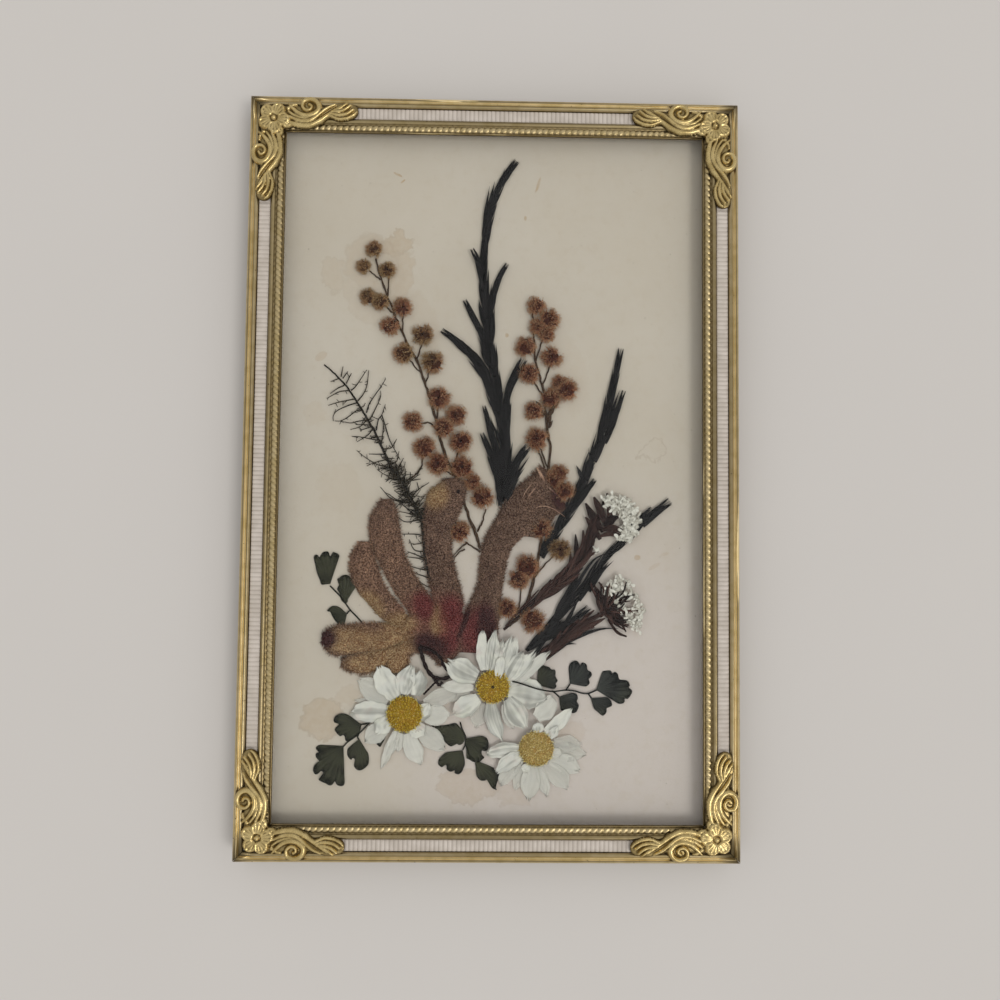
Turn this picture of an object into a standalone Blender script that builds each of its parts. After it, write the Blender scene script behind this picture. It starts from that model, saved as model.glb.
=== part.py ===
"""Pressed flower frame: a small stamped-brass picture frame with a glass pane, an ivory card
and a pressed spray of daisies, wattle, kangaroo paw, maidenhair fern and dark leafy sprigs.

The frame lies on its back. X runs to the right, Y to the top of the picture and Z out of
the face. The origin is the middle of the back. Every number below is in millimetres.
"""
import math

import bmesh
import bpy

MM = 0.001

# --- frame sizes -------------------------------------------------------------------------
OUTER_WIDTH = 142.0
OUTER_HEIGHT = 218.0
REBATE_INSET = 7.2          # outer edge to the rebate wall
PANE_WIDTH = 127.0          # a standard 5 x 8 inch pane
PANE_HEIGHT = 203.0
GAP = 0.3                   # clearance between touching pieces
MITRE_GAP = 0.15

# --- heights above the back rim ----------------------------------------------------------
BOARD_Z = (1.6, 3.4)
CARD_Z = (3.6, 4.1)
GLASS_Z = (7.2, 8.4)
LIP_Z = 8.7
CHANNEL_Z = 8.2
RIDGE_Z = 9.8
STRIP_Z = (8.5, 8.95)
CORNER_Z = (10.1, 10.9)
CORNER_FLOWER_Z = 11.7

# --- specimen layers between card and glass ------------------------------------------------
LAYER_START = 4.25
LAYER_PITCH = 0.32
LAYER_THICKNESS = 0.2

# Moulding section: (distance inward from the outer edge, height).
MOULDING = [
    (0.0, 0.0), (0.0, 8.6), (0.25, 9.3), (0.7, 9.6), (1.2, 9.2), (1.5, 9.2), (2.1, RIDGE_Z),
    (2.5, 9.4), (2.7, CHANNEL_Z), (6.6, CHANNEL_Z), (6.7, 9.2), (7.0, 9.5), (7.4, 9.2),
    (7.7, 9.5), (8.7, RIDGE_Z), (9.7, 9.5), (10.2, 9.1), (10.5, 8.9), (10.5, LIP_Z),
    (REBATE_INSET, LIP_Z), (REBATE_INSET, 0.0),
]
STRIP = [
    (2.95, STRIP_Z[0]), (2.95, 8.8), (3.15, STRIP_Z[1]), (6.15, STRIP_Z[1]), (6.35, 8.8),
    (6.35, STRIP_Z[0]),
]

# Half of a corner ornament, tip to diagonal: (along the arm, inward from the edge).
CORNER_OUTER_SIDE = [
    (30.0, 4.4), (26.0, 2.6), (21.5, 1.8), (19.5, 0.9), (16.5, 0.5), (13.0, 1.2),
    (10.8, 1.5), (8.4, 0.6), (4.6, 0.4),
]
CORNER_INNER_SIDE = [(27.5, 6.4), (23.5, 7.4), (17.5, 8.6), (13.0, 7.8), (10.6, 8.8)]
CORNER_TIP_INNER = (9.6, 9.6)
CORNER_FLOWER_CENTRE = 6.3
CORNER_FLOWER_RADIUS = 3.9

MATERIALS = {
    "brass": ((0.40, 0.29, 0.10), 0.32, 1.0),
    "ribbed_enamel": ((0.62, 0.61, 0.56), 0.40, 0.0),
    "glass": ((0.95, 0.97, 0.96), 0.03, 0.0),
    "ivory_card": ((0.50, 0.44, 0.35), 0.85, 0.0),
    "grey_board": ((0.16, 0.14, 0.12), 0.90, 0.0),
    "steel": ((0.45, 0.44, 0.42), 0.35, 1.0),
    "petal": ((0.72, 0.73, 0.70), 0.60, 0.0),
    "disc_floret": ((0.42, 0.25, 0.05), 0.80, 0.0),
    "paw_fuzz": ((0.17, 0.08, 0.06), 0.90, 0.0),
    "wattle": ((0.14, 0.07, 0.04), 0.90, 0.0),
    "dark_leaf": ((0.015, 0.016, 0.014), 0.65, 0.0),
    "feather_leaf": ((0.035, 0.035, 0.02), 0.75, 0.0),
    "brown_bract": ((0.08, 0.05, 0.04), 0.75, 0.0),
    "white_floret": ((0.62, 0.61, 0.56), 0.70, 0.0),
    "fern_leaf": ((0.03, 0.035, 0.025), 0.70, 0.0),
}

# --- specimens: all places are (x, y) from the middle of the card -----------------------------
# A petal is (direction in degrees, length, width).
DAISIES = {
    "daisy_left": {
        "centre": (-24.0, -68.0), "disc": 5.3, "layer": 6,
        "petals": [
            (25, 12.0, 5.0), (72, 13.8, 6.4), (84, 13.6, 6.0), (118, 15.2, 6.4),
            (145, 16.6, 5.4), (167, 16.0, 5.0), (177, 16.5, 6.4), (209, 14.6, 5.6),
            (221, 10.2, 4.8), (247, 17.8, 4.2), (260, 12.0, 3.8), (289, 17.0, 5.8),
            (315, 14.5, 5.8), (356, 13.2, 6.0),
        ],
    },
    "daisy_middle": {
        "centre": (1.0, -61.0), "disc": 4.9, "layer": 7,
        "petals": [
            (33, 19.5, 4.2), (41, 16.5, 4.0), (49, 14.6, 3.6), (62, 16.5, 3.6),
            (76, 15.6, 3.0), (87, 16.4, 3.8), (98, 16.4, 3.8), (150, 15.5, 7.0),
            (178, 15.2, 4.4), (217, 15.0, 5.8), (279, 16.2, 4.6), (298, 14.4, 4.4),
            (320, 15.5, 6.0), (344, 18.5, 7.0), (355, 16.0, 6.0),
        ],
    },
    "daisy_right": {
        "centre": (13.5, -78.0), "disc": 5.2, "layer": 6,
        "petals": [
            (8, 13.2, 4.4), (35, 8.4, 4.0), (50, 15.8, 4.2), (92, 8.6, 3.4),
            (135, 7.6, 3.6), (186, 15.0, 4.8), (211, 13.4, 4.0), (227, 15.2, 4.0),
            (242, 13.6, 3.6), (261, 16.0, 4.6), (281, 14.4, 3.6), (307, 15.2, 5.0),
            (334, 12.8, 4.6), (358, 13.8, 4.4),
        ],
    },
}

# A finger is (x, y, half width) from its open tip down to the stalk.
PAW_FINGERS = {
    "paw_finger_1": (4, [(-30, -6.5, 1.6), (-31, -11, 3.6), (-30.5, -18, 4.4), (-28.5, -24, 4.2),
                         (-24.5, -31, 3.8), (-21, -36.5, 3.6), (-17.5, -42, 3.0)]),
    "paw_finger_2": (5, [(-36, -18.5, 1.6), (-36.3, -24, 3.8), (-34, -32, 4.0),
                         (-29.8, -38, 4.0), (-25, -43.5, 3.2)]),
    "paw_finger_3": (5, [(-12.6, -1.5, 2.6), (-13.5, -7, 5.4), (-14.8, -13.5, 4.6),
                         (-15.4, -21, 3.8), (-14, -28, 3.8), (-12, -35, 3.6), (-10.5, -43, 3.0)]),
    "paw_finger_4": (4, [(14.5, 1.5, 1.4), (15.5, -6.5, 6.4), (9.5, -10.5, 6.8), (4.5, -16, 4.6),
                         (1.4, -22, 3.8), (-0.4, -30, 3.6), (-3, -40, 4.2), (-5.4, -48.5, 3.2)]),
    "paw_finger_5": (4, [(-48, -47, 1.4), (-43, -47.3, 3.8), (-36, -47.3, 4.0), (-28, -47, 3.8),
                         (-22.5, -47.6, 3.0)]),
    "paw_finger_6": (5, [(-42.3, -54.5, 1.2), (-37, -54.3, 2.8), (-31.5, -53.5, 3.0),
                         (-26.5, -51.5, 2.4)]),
    "paw_finger_7": (4, [(-27, -58, 2.0), (-26.4, -55.6, 3.0), (-25.6, -52.4, 2.6)]),
}
PAW_STALK = [(-20, -46.5, 4.4), (-15, -46, 3.0), (-12, -49, 2.2), (-13, -54, 1.6),
             (-15.5, -57.5, 1.0)]

# A stem is a list of (x, y) with a start and an end width; a head is (x, y, radius).
WATTLE_LEFT = {
    "stems": [
        ([(-34.5, 63), (-33.5, 59), (-31, 52), (-28.5, 46), (-25, 38), (-22, 33), (-20, 27.5),
          (-17, 18.5), (-15, 10.5), (-12, 2), (-7.5, -4.5), (-7.5, -8), (-5.5, -13.5),
          (-3.5, -22)], 0.5, 0.9),
        ([(-36.5, 59.5), (-33.2, 56.8)], 0.4, 0.5),
        ([(-30.5, 57.5), (-31, 51.6)], 0.4, 0.5),
        ([(-35, 51), (-32, 49.5), (-28.6, 46.2)], 0.4, 0.5),
        ([(-26.5, 47), (-26.3, 41)], 0.4, 0.5),
        ([(-20.5, 38.5), (-22.2, 33.5)], 0.4, 0.5),
        ([(-25, 34), (-20.9, 29.5)], 0.4, 0.5),
        ([(-18, 31), (-19.6, 26.2)], 0.4, 0.5),
        ([(-21, 14.6), (-15.6, 12.4)], 0.4, 0.5),
        ([(-15.5, 21), (-16, 15)], 0.4, 0.5),
        ([(-9.5, 8), (-11.4, 0.8)], 0.4, 0.5),
        ([(-15, 2), (-10, -1)], 0.4, 0.5),
        ([(-19.6, 5.6), (-20.5, 2), (-23.5, -1.5)], 0.5, 0.4),
        ([(-1.6, -9.5), (-4.7, -17.6)], 0.4, 0.5),
        ([(-8, -18.6), (-3.4, -21.6)], 0.4, 0.5),
    ],
    "heads": [
        (-35, 65.5, 2.3), (-38, 60.5, 2.0), (-31, 59.5, 2.2), (-36.5, 51.5, 2.3),
        (-33, 50, 2.3), (-26.5, 48.5, 2.7), (-30, 43, 2.7), (-20.5, 40.5, 3.0),
        (-26, 35, 2.9), (-17.5, 32.5, 3.2), (-15.5, 22, 3.2), (-10.5, 17, 2.9),
        (-14, 13.5, 2.9), (-23, 15, 2.9), (-9, 9.5, 3.2), (-19.5, 7.5, 3.2),
        (-15.5, 3, 3.2), (-8.5, 2, 3.2), (-5, -2.5, 2.6), (-2.5, -7, 3.3),
        (-8.5, -17, 3.2),
    ],
}
WATTLE_RIGHT = {
    "stems": [
        ([(11.5, 48), (12, 39.5), (12.5, 33.5), (14, 28), (15, 24), (15.5, 19), (16, 13),
          (17, 8.5), (16.5, 1.5), (16, -7.5), (14.5, -19), (12.5, -30.5), (9.5, -39.5),
          (5.5, -43.5)], 0.5, 0.9),
        ([(17, 33), (14.6, 26)], 0.4, 0.5),
        ([(11.6, 28), (14.8, 22.8)], 0.4, 0.5),
        ([(15.5, 43), (12.6, 33.6)], 0.4, 0.5),
        ([(14, 8), (16.6, 1.6)], 0.4, 0.5),
        ([(15.5, 21), (18.6, 19.6)], 2.2, 0.4),
        ([(15.6, 17.6), (18, 16.6)], 1.6, 0.4),
        ([(20, -21), (12.8, -29.4)], 0.5, 0.6),
    ],
    "heads": [
        (12.5, 49.5, 2.6), (16.5, 45.5, 3.0), (15.5, 41.5, 2.6), (9.5, 37.5, 2.9),
        (17, 34.5, 3.0), (10.5, 29.5, 2.9), (21.5, 25, 3.2), (17, 22.5, 2.9),
        (12, 18.5, 2.7), (13, 10.5, 3.2), (17.5, -1.5, 3.0), (21, -4, 2.9),
        (14.5, -15.5, 3.0), (20, -22.5, 2.6), (10.5, -26.5, 3.0), (8.5, -30.5, 3.0),
        (4.5, -39, 2.8), (13, -42, 3.3),
    ],
}

# A blade is (points, width at the tip, width at the root).
DARK_SPRIGS = {
    "dark_sprig_middle": [
        ([(6.5, 93), (1, 84), (-2, 74), (-3, 64.5), (-3, 55.5), (-1.5, 42.5), (0, 32), (1.5, 23),
          (2.5, 14.5), (3.5, 4), (3.2, -8)], 0.5, 3.6),
        ([(4, 62), (0.5, 56), (-1, 46), (-0.6, 38)], 0.4, 2.2),
        ([(-8.5, 51), (-3.5, 41), (-0.4, 31)], 0.4, 2.2),
        ([(-15, 42), (-9, 37.5), (-1.5, 28.5), (1.4, 18)], 0.5, 3.2),
        ([(9, 34), (5.5, 27), (3.2, 19), (3, 10)], 2.0, 3.0),
        ([(-2.5, 20), (-0.5, 13), (1.6, 5.5), (3, -1.5)], 0.4, 2.4),
        ([(-3, 12), (0.5, 4), (2.8, -3)], 0.4, 2.4),
        ([(5, 21), (4, 10), (3.4, 2)], 0.4, 2.0),
        ([(10.5, 8.5), (7.5, 4), (5, -1.5), (3.6, -6.5)], 1.6, 2.8),
        ([(-6.5, 66), (-2.8, 59)], 0.4, 1.6),
    ],
    "dark_sprig_right": [
        ([(37.5, 37.5), (35.5, 28), (33, 17.5), (31, 9.5), (28, 3), (25.5, -4.5), (20.5, -13),
          (14.5, -23.5)], 0.6, 3.4),
        ([(37, 25), (34, 16), (31, 8)], 0.4, 2.0),
        ([(33, 18.5), (31.5, 12), (29.5, 5)], 0.4, 2.0),
        ([(28, 8), (27.3, 1.5), (25.2, -5)], 0.4, 2.0),
        ([(30, -1), (26.4, -6), (21.5, -12.5)], 0.4, 2.0),
    ],
    "dark_sprig_lower": [
        ([(52, -7), (45.5, -11.5), (40, -17), (33.5, -23.5), (28.5, -30), (23, -36.5),
          (17, -44.5), (10.5, -50.5)], 0.5, 3.6),
        ([(46.5, -9), (43, -12.6), (38, -19)], 0.6, 2.0),
        ([(25, -28), (22.5, -33.5), (18, -42)], 0.5, 2.6),
        ([(28.5, -38), (23, -41.6), (15, -47)], 1.2, 2.4),
        ([(37, -44), (32, -44.5), (24.5, -45.2), (14, -48.4)], 0.4, 2.4),
        ([(34, -22.5), (29, -24.7), (23, -36)], 0.4, 1.6),
    ],
}
FEATHER_STEM = ([(-49, 31.5), (-43, 25), (-36.5, 17), (-33.5, 11.5), (-30.5, 5), (-28, 0.5),
                 (-24.5, -4), (-22, -8.5), (-20, -14), (-19.5, -20), (-18.5, -25.5),
                 (-16.5, -34)], 0.4, 1.4)
# Branchlets of the feathery sprig: (root on the stem, tip).
FEATHER_BRANCHLETS = [
    ((-43, 25), (-47.5, 26.5)), ((-43, 25), (-43.5, 30.5)), ((-39.5, 20.8), (-46, 17.5)),
    ((-39.5, 20.8), (-36.5, 29.5)), ((-36.5, 17), (-44, 12.5)), ((-36.5, 17), (-31, 27)),
    ((-33.5, 11.5), (-40.5, 8)), ((-33.5, 11.5), (-28, 17)), ((-30.5, 5), (-36, 3.5)),
    ((-30.5, 5), (-24.5, 8)), ((-26.5, -1.5), (-32, -1)), ((-26.5, -1.5), (-20.5, 2.5)),
    ((-23, -7), (-28.5, -7)), ((-23, -7), (-18, -4)), ((-20.3, -13), (-27, -12)),
    ((-19.8, -17), (-25.5, -17.5)), ((-19, -23), (-24.5, -24)), ((-17.6, -29.5), (-22.5, -28)),
]
WHITE_SPRIGS = {
    "white_sprig_upper": [
        ([(33, -5.5), (31.5, -11), (29.6, -16.5), (26, -23.5), (22, -29), (16.5, -34),
          (7.5, -41.5), (4, -44.6)], 1.2, 1.0),
        ([(28, -8), (28.4, -13), (26.6, -22)], 0.6, 2.0),
        ([(24.5, -17.5), (25.2, -22), (23, -28)], 1.2, 1.8),
        ([(31, -22.5), (26, -25.5), (21.6, -29.4)], 1.0, 1.8),
        ([(35.5, -14), (31, -13.6)], 2.4, 2.4),
        ([(28, -16.5), (26, -24), (20, -31), (12, -38)], 3.6, 1.2),
    ],
    "white_sprig_lower": [
        ([(36, -37), (33, -39), (27.5, -42.5), (20.5, -48), (14.5, -53.5), (8.5, -57.8)], 4.0, 0.9),
        ([(40.5, -35), (33, -39)], 4.4, 2.2),
        ([(26, -41.4), (20.6, -47.6)], 1.0, 2.6),
    ],
}
WHITE_FLORETS = {
    "white_florets_upper": (38.4, -12.6, 3.6, 5.2),
    "white_florets_lower": (40.6, -32.2, 4.4, 5.6),
}

# A leaflet is (root x, root y, direction, length, spread in degrees).
FERNS = {
    "fern_upper_left": {
        "stem": ([(-46.4, -32.4), (-43, -35.5), (-40, -39.5), (-36, -44)], 0.4, 0.5),
        "leaflets": [(-46.6, -32, 92, 8.8, 50), (-41.6, -37.6, 92, 7.6, 48),
                     (-41.4, -42.2, 108, 5.6, 70)],
    },
    "fern_lower_left": {
        "stem": ([(-33, -70), (-36.5, -74.5), (-40.5, -78), (-42, -79)], 0.4, 0.5),
        "leaflets": [(-41, -78.5, 222, 11.6, 84), (-36.7, -73.6, 178, 7.6, 84),
                     (-37, -75.6, 264, 8.6, 56)],
    },
    "fern_middle": {
        "stem": ([(-8, -71), (-6.5, -76), (-6.6, -81), (-3, -83)], 0.4, 0.5),
        "leaflets": [(-6.4, -75.2, 200, 8.0, 74), (-6.6, -79.4, 222, 7.6, 70),
                     (-6.6, -76, 334, 7.2, 84), (-4, -82.4, 318, 7.8, 70)],
    },
    "fern_right": {
        "stem": ([(7, -58.5), (12, -60.5), (18.5, -62), (22.5, -61.6), (27.5, -62.5),
                  (32.5, -61.5)], 0.4, 0.5),
        "leaflets": [(13.5, -59.5, 20, 6.4, 90), (23.5, -60.2, 50, 7.6, 74),
                     (31.5, -61.6, 12, 10.0, 74), (20, -64, 338, 6.2, 70),
                     (29.5, -63.5, 318, 6.2, 66)],
    },
}

# --- back fittings -------------------------------------------------------------------------
TAB_SIZE = (6.0, 5.0)
TAB_Z = (0.95, 1.35)
HANGER_Y = 88.0
HANGER_LENGTH = 40.0
HANGER_DEPTH = 7.0
HANGER_TEETH = 9
HANGER_Z = (0.9, 1.3)
RIVET_OFFSET = 16.5
RIVET_HOLE = 1.3
RIVET_SHANK = 0.95
RIVET_HEAD = 1.9


def clear_scene():
    for old in list(bpy.data.objects):
        bpy.data.objects.remove(old, do_unlink=True)


def make_materials():
    made = {}
    for name, (colour, roughness, metallic) in MATERIALS.items():
        material = bpy.data.materials.new(name)
        material.use_nodes = True
        shader = material.node_tree.nodes["Principled BSDF"]
        shader.inputs["Base Color"].default_value = (*colour, 1.0)
        shader.inputs["Roughness"].default_value = roughness
        shader.inputs["Metallic"].default_value = metallic
        made[name] = material
    return made


def new_object(name, vertices, faces, material):
    """A mesh object from vertices in millimetres, with its normals pointing out."""
    mesh = bpy.data.meshes.new(name)
    mesh.from_pydata([(x * MM, y * MM, z * MM) for x, y, z in vertices], [], faces)
    work = bmesh.new()
    work.from_mesh(mesh)
    bmesh.ops.recalc_face_normals(work, faces=work.faces)
    work.to_mesh(mesh)
    work.free()
    item = bpy.data.objects.new(name, mesh)
    item.data.materials.append(material)
    bpy.context.scene.collection.objects.link(item)
    return item


def loft(rings):
    """Vertices and faces of a solid through rings of equal length, with flat ends."""
    size = len(rings[0])
    vertices = [point for ring in rings for point in ring]
    faces = []
    for row in range(len(rings) - 1):
        for column in range(size):
            following = (column + 1) % size
            faces.append((row * size + column, row * size + following,
                          (row + 1) * size + following, (row + 1) * size + column))
    last = (len(rings) - 1) * size
    faces.append(tuple(range(size)))
    faces.append(tuple(range(last, last + size)))
    return vertices, faces


def prism(outline, low, high):
    return loft([[(x, y, low) for x, y in outline], [(x, y, high) for x, y in outline]])


def circle(x, y, radius, sides, turn=0.0):
    step = 2.0 * math.pi / sides
    return [(x + radius * math.cos(turn + step * i), y + radius * math.sin(turn + step * i))
            for i in range(sides)]


def directions(points):
    """The unit direction of a path at each of its points."""
    found = []
    for index in range(len(points)):
        before = points[max(index - 1, 0)]
        after = points[min(index + 1, len(points) - 1)]
        length = math.hypot(after[0] - before[0], after[1] - before[1])
        found.append(((after[0] - before[0]) / length, (after[1] - before[1]) / length))
    return found


def ribbon(points, first_width, last_width, low, high):
    """A flat strip along a path, growing from first_width to last_width."""
    steps = len(points) - 1
    rings = []
    for index, ((x, y), (dx, dy)) in enumerate(zip(points, directions(points))):
        half = 0.5 * (first_width + (last_width - first_width) * index / steps)
        left = (x - dy * half, y + dx * half)
        right = (x + dy * half, y - dx * half)
        rings.append([(*left, low), (*right, low), (*right, high), (*left, high)])
    return loft(rings)


def layer_range(layer, thickness=LAYER_THICKNESS):
    low = LAYER_START + LAYER_PITCH * layer
    return low, low + thickness


def fuse(name, solids, material):
    """One body from overlapping solids, each given as (vertices, faces)."""
    body = new_object(name, *solids[0], material)
    for number, solid in enumerate(solids[1:]):
        cutter = new_object(f"{name}_part_{number}", *solid, material)
        union = body.modifiers.new("union", "BOOLEAN")
        union.operation = "UNION"
        union.solver = "EXACT"
        union.object = cutter
        graph = bpy.context.evaluated_depsgraph_get()
        merged = bpy.data.meshes.new_from_object(body.evaluated_get(graph))
        body.modifiers.clear()
        body.data = merged
        bpy.data.objects.remove(cutter, do_unlink=True)
    body.data.materials.clear()
    body.data.materials.append(material)
    return body


def mitred_bar(name, section, length, side, material):
    """A bar of the frame: section runs inward from the outer edge, the ends are mitred."""
    half_width = 0.5 * OUTER_WIDTH
    half_height = 0.5 * OUTER_HEIGHT
    place = {
        "top": lambda along, inward: (along, half_height - inward),
        "bottom": lambda along, inward: (-along, inward - half_height),
        "left": lambda along, inward: (inward - half_width, along),
        "right": lambda along, inward: (half_width - inward, -along),
    }[side]
    rings = []
    for end in (-1, 1):
        rings.append([(*place(end * (0.5 * length - inward - MITRE_GAP), inward), height)
                      for inward, height in section])
    return new_object(name, *loft(rings), material)


def build_frame(materials):
    for side in ("top", "bottom", "left", "right"):
        length = OUTER_WIDTH if side in ("top", "bottom") else OUTER_HEIGHT
        mitred_bar(f"rail_{side}", MOULDING, length, side, materials["brass"])
        mitred_bar(f"strip_{side}", STRIP, length, side, materials["ribbed_enamel"])


def build_corners(materials):
    """Four stamped ornaments, each mirrored about its own diagonal."""
    along_arm = CORNER_OUTER_SIDE + [(0.9, 0.9)]
    other_arm = [(inward, along) for along, inward in reversed(CORNER_OUTER_SIDE)]
    inner = [(inward, along) for along, inward in CORNER_INNER_SIDE] + [CORNER_TIP_INNER]
    inner += list(reversed(CORNER_INNER_SIDE))
    outline = along_arm + other_arm + inner
    for name, sx, sy in (("corner_top_left", 1, -1), ("corner_top_right", -1, -1),
                         ("corner_bottom_left", 1, 1), ("corner_bottom_right", -1, 1)):
        corner_x = -sx * 0.5 * OUTER_WIDTH
        corner_y = -sy * 0.5 * OUTER_HEIGHT
        placed = [(corner_x + sx * a, corner_y + sy * b) for a, b in outline]
        x = corner_x + sx * CORNER_FLOWER_CENTRE
        y = corner_y + sy * CORNER_FLOWER_CENTRE
        boss = []
        for radius, height in ((CORNER_FLOWER_RADIUS, CORNER_Z[1] - 0.3),
                               (CORNER_FLOWER_RADIUS, CORNER_Z[1] + 0.3),
                               (0.7 * CORNER_FLOWER_RADIUS, CORNER_FLOWER_Z - 0.1),
                               (0.3 * CORNER_FLOWER_RADIUS, CORNER_FLOWER_Z)):
            boss.append([(*point, height) for point in circle(x, y, radius, 15)])
        fuse(name, [prism(placed, *CORNER_Z), loft(boss)], materials["brass"])


def slab(name, width, height, z_range, material):
    outline = [(-0.5 * width, -0.5 * height), (0.5 * width, -0.5 * height),
               (0.5 * width, 0.5 * height), (-0.5 * width, 0.5 * height)]
    new_object(name, *prism(outline, *z_range), material)


def build_stack(materials):
    slab("glass_pane", PANE_WIDTH, PANE_HEIGHT, GLASS_Z, materials["glass"])
    slab("mount_card", PANE_WIDTH, PANE_HEIGHT, CARD_Z, materials["ivory_card"])
    slab("backing_board", PANE_WIDTH, PANE_HEIGHT, BOARD_Z, materials["grey_board"])


def build_tabs(materials):
    """Flat points that hold the board in; their outer ends stop at the rebate wall."""
    reach_x = 0.5 * OUTER_WIDTH - REBATE_INSET - GAP
    reach_y = 0.5 * OUTER_HEIGHT - REBATE_INSET - GAP
    width, depth = TAB_SIZE
    places = [("left_upper", -1, 0, 45), ("left_lower", -1, 0, -45), ("right_upper", 1, 0, 45),
              ("right_lower", 1, 0, -45), ("top", 0, 1, 0), ("bottom", 0, -1, 0)]
    for name, side_x, side_y, along in places:
        outline = []
        for across, inward in ((-0.5, 0.0), (0.5, 0.0), (0.5, 0.5), (0.0, 1.0), (-0.5, 0.5)):
            shift = across * width
            if side_x:
                outline.append((side_x * (reach_x - inward * depth), along + shift))
            else:
                outline.append((along + shift, side_y * (reach_y - inward * depth)))
        new_object(f"tab_{name}", *prism(outline, *TAB_Z), materials["steel"])


def build_hanger(materials):
    """A sawtooth plate riveted to the board, sunk within the depth of the back."""
    half = 0.5 * HANGER_LENGTH
    outline = [(-half, HANGER_Y - 0.5 * HANGER_DEPTH), (-half, HANGER_Y + 0.5 * HANGER_DEPTH),
               (half, HANGER_Y + 0.5 * HANGER_DEPTH), (half, HANGER_Y - 0.5 * HANGER_DEPTH)]
    tooth_span = 1.2 * half / HANGER_TEETH
    for tooth in range(HANGER_TEETH):
        start = 0.6 * half - tooth * tooth_span
        outline.append((start, HANGER_Y - 0.5 * HANGER_DEPTH))
        outline.append((start - 0.5 * tooth_span, HANGER_Y - 0.5 * HANGER_DEPTH + 1.6))
    outline.append((-0.6 * half, HANGER_Y - 0.5 * HANGER_DEPTH))
    plate = new_object("sawtooth_hanger", *prism(outline, *HANGER_Z), materials["steel"])
    for side, name in ((-1, "hanger_rivet_left"), (1, "hanger_rivet_right")):
        x = side * RIVET_OFFSET
        hole = new_object(f"{name}_hole", *prism(circle(x, HANGER_Y, RIVET_HOLE, 16), 0.6, 1.5),
                          materials["steel"])
        hole.hide_render = True
        hole.display_type = "WIRE"
        cut = plate.modifiers.new(name, "BOOLEAN")
        cut.operation = "DIFFERENCE"
        cut.solver = "EXACT"
        cut.object = hole
        rings = [[(*point, height) for point in circle(x, HANGER_Y, radius, 16)]
                 for radius, height in ((1.4, 0.45), (RIVET_HEAD, 0.55), (RIVET_HEAD, 0.7),
                                        (RIVET_SHANK, 0.71), (RIVET_SHANK, 1.45))]
        new_object(name, *loft(rings), materials["steel"])


def whorl_outline(spec):
    """The outline of a ring of petals: at each direction the farthest petal edge."""
    x, y = spec["centre"]
    steps = 84
    outline = []
    for step in range(steps):
        angle = 360.0 * step / steps
        reach = spec["disc"]
        for direction, length, width in spec["petals"]:
            off = abs((angle - direction + 180.0) % 360.0 - 180.0)
            half_angle = math.degrees(math.atan2(0.5 * width, 0.7 * length))
            if off < half_angle:
                reach = max(reach, length * math.cos(0.5 * math.pi * off / half_angle) ** 0.4)
        angle = math.radians(angle)
        outline.append((x + reach * math.cos(angle), y + reach * math.sin(angle)))
    return outline


def build_daisies(materials):
    for name, spec in DAISIES.items():
        low, high = layer_range(spec["layer"])
        outline = whorl_outline(spec)
        new_object(f"{name}_petals", *prism(outline, low, high), materials["petal"])
        x, y = spec["centre"]
        low, high = layer_range(spec["layer"] + 1)
        rings = [[(*point, height) for point in circle(x, y, radius, 20)]
                 for radius, height in ((spec["disc"], low), (spec["disc"], low + 0.08),
                                       (0.8 * spec["disc"], high), (0.3 * spec["disc"], high + 0.05))]
        new_object(f"{name}_centre", *loft(rings), materials["disc_floret"])


def finger_rings(stations, low, high):
    """Oval sections along a flattened tube; each station is (x, y, half width)."""
    middle = 0.5 * (low + high)
    half_height = 0.5 * (high - low)
    sides = 8
    rings = []
    points = [(x, y) for x, y, _ in stations]
    for (x, y, half), (dx, dy) in zip(stations, directions(points)):
        ring = []
        for index in range(sides):
            angle = 2.0 * math.pi * (index + 0.5) / sides
            across = half * math.cos(angle)
            ring.append((x - dy * across, y + dx * across,
                         middle + half_height * math.sin(angle)))
        rings.append(ring)
    return rings


def build_paw(materials):
    for name, (layer, stations) in PAW_FINGERS.items():
        rings = finger_rings(stations, *layer_range(layer, 0.26))
        new_object(name, *loft(rings), materials["paw_fuzz"])
    rings = finger_rings(PAW_STALK, *layer_range(3, 0.26))
    new_object("paw_stalk", *loft(rings), materials["paw_fuzz"])


def nearest_on_stems(x, y, stems):
    """The closest point to (x, y) on any of the stems' straight runs, and its distance."""
    best = None
    for points, _, _ in stems:
        for (ax, ay), (bx, by) in zip(points, points[1:]):
            run_x, run_y = bx - ax, by - ay
            share = ((x - ax) * run_x + (y - ay) * run_y) / (run_x ** 2 + run_y ** 2)
            share = min(max(share, 0.0), 1.0)
            near = (ax + share * run_x, ay + share * run_y)
            distance = math.hypot(x - near[0], y - near[1])
            if best is None or distance < best[1]:
                best = (near, distance)
    return best


def build_wattle(name, spec, materials):
    low, high = layer_range(2)
    solids = []
    for number, (points, first, last) in enumerate(spec["stems"]):
        trim = 0.004 * number
        solids.append(ribbon(points, first, last, low + 0.04 + trim, high - 0.04 - 0.2 * trim))
    for number, (x, y, radius) in enumerate(spec["heads"]):
        trim = 0.0015 * number
        solids.append(prism(circle(x, y, radius, 8, 0.05 * number), low + trim, high - trim))
        near, distance = nearest_on_stems(x, y, spec["stems"])
        if distance > 0.7 * radius:
            solids.append(ribbon([(x, y), near], 0.4, 0.4, low + 0.07 + trim, high - 0.07))
    fuse(name, solids, materials["wattle"])


def build_blades(name, blades, layer, material):
    low, high = layer_range(layer)
    solids = []
    for number, (points, first, last) in enumerate(blades):
        trim = 0.006 * number
        solids.append(ribbon(points, first, last, low + trim, high - trim))
    fuse(name, solids, material)


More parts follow.
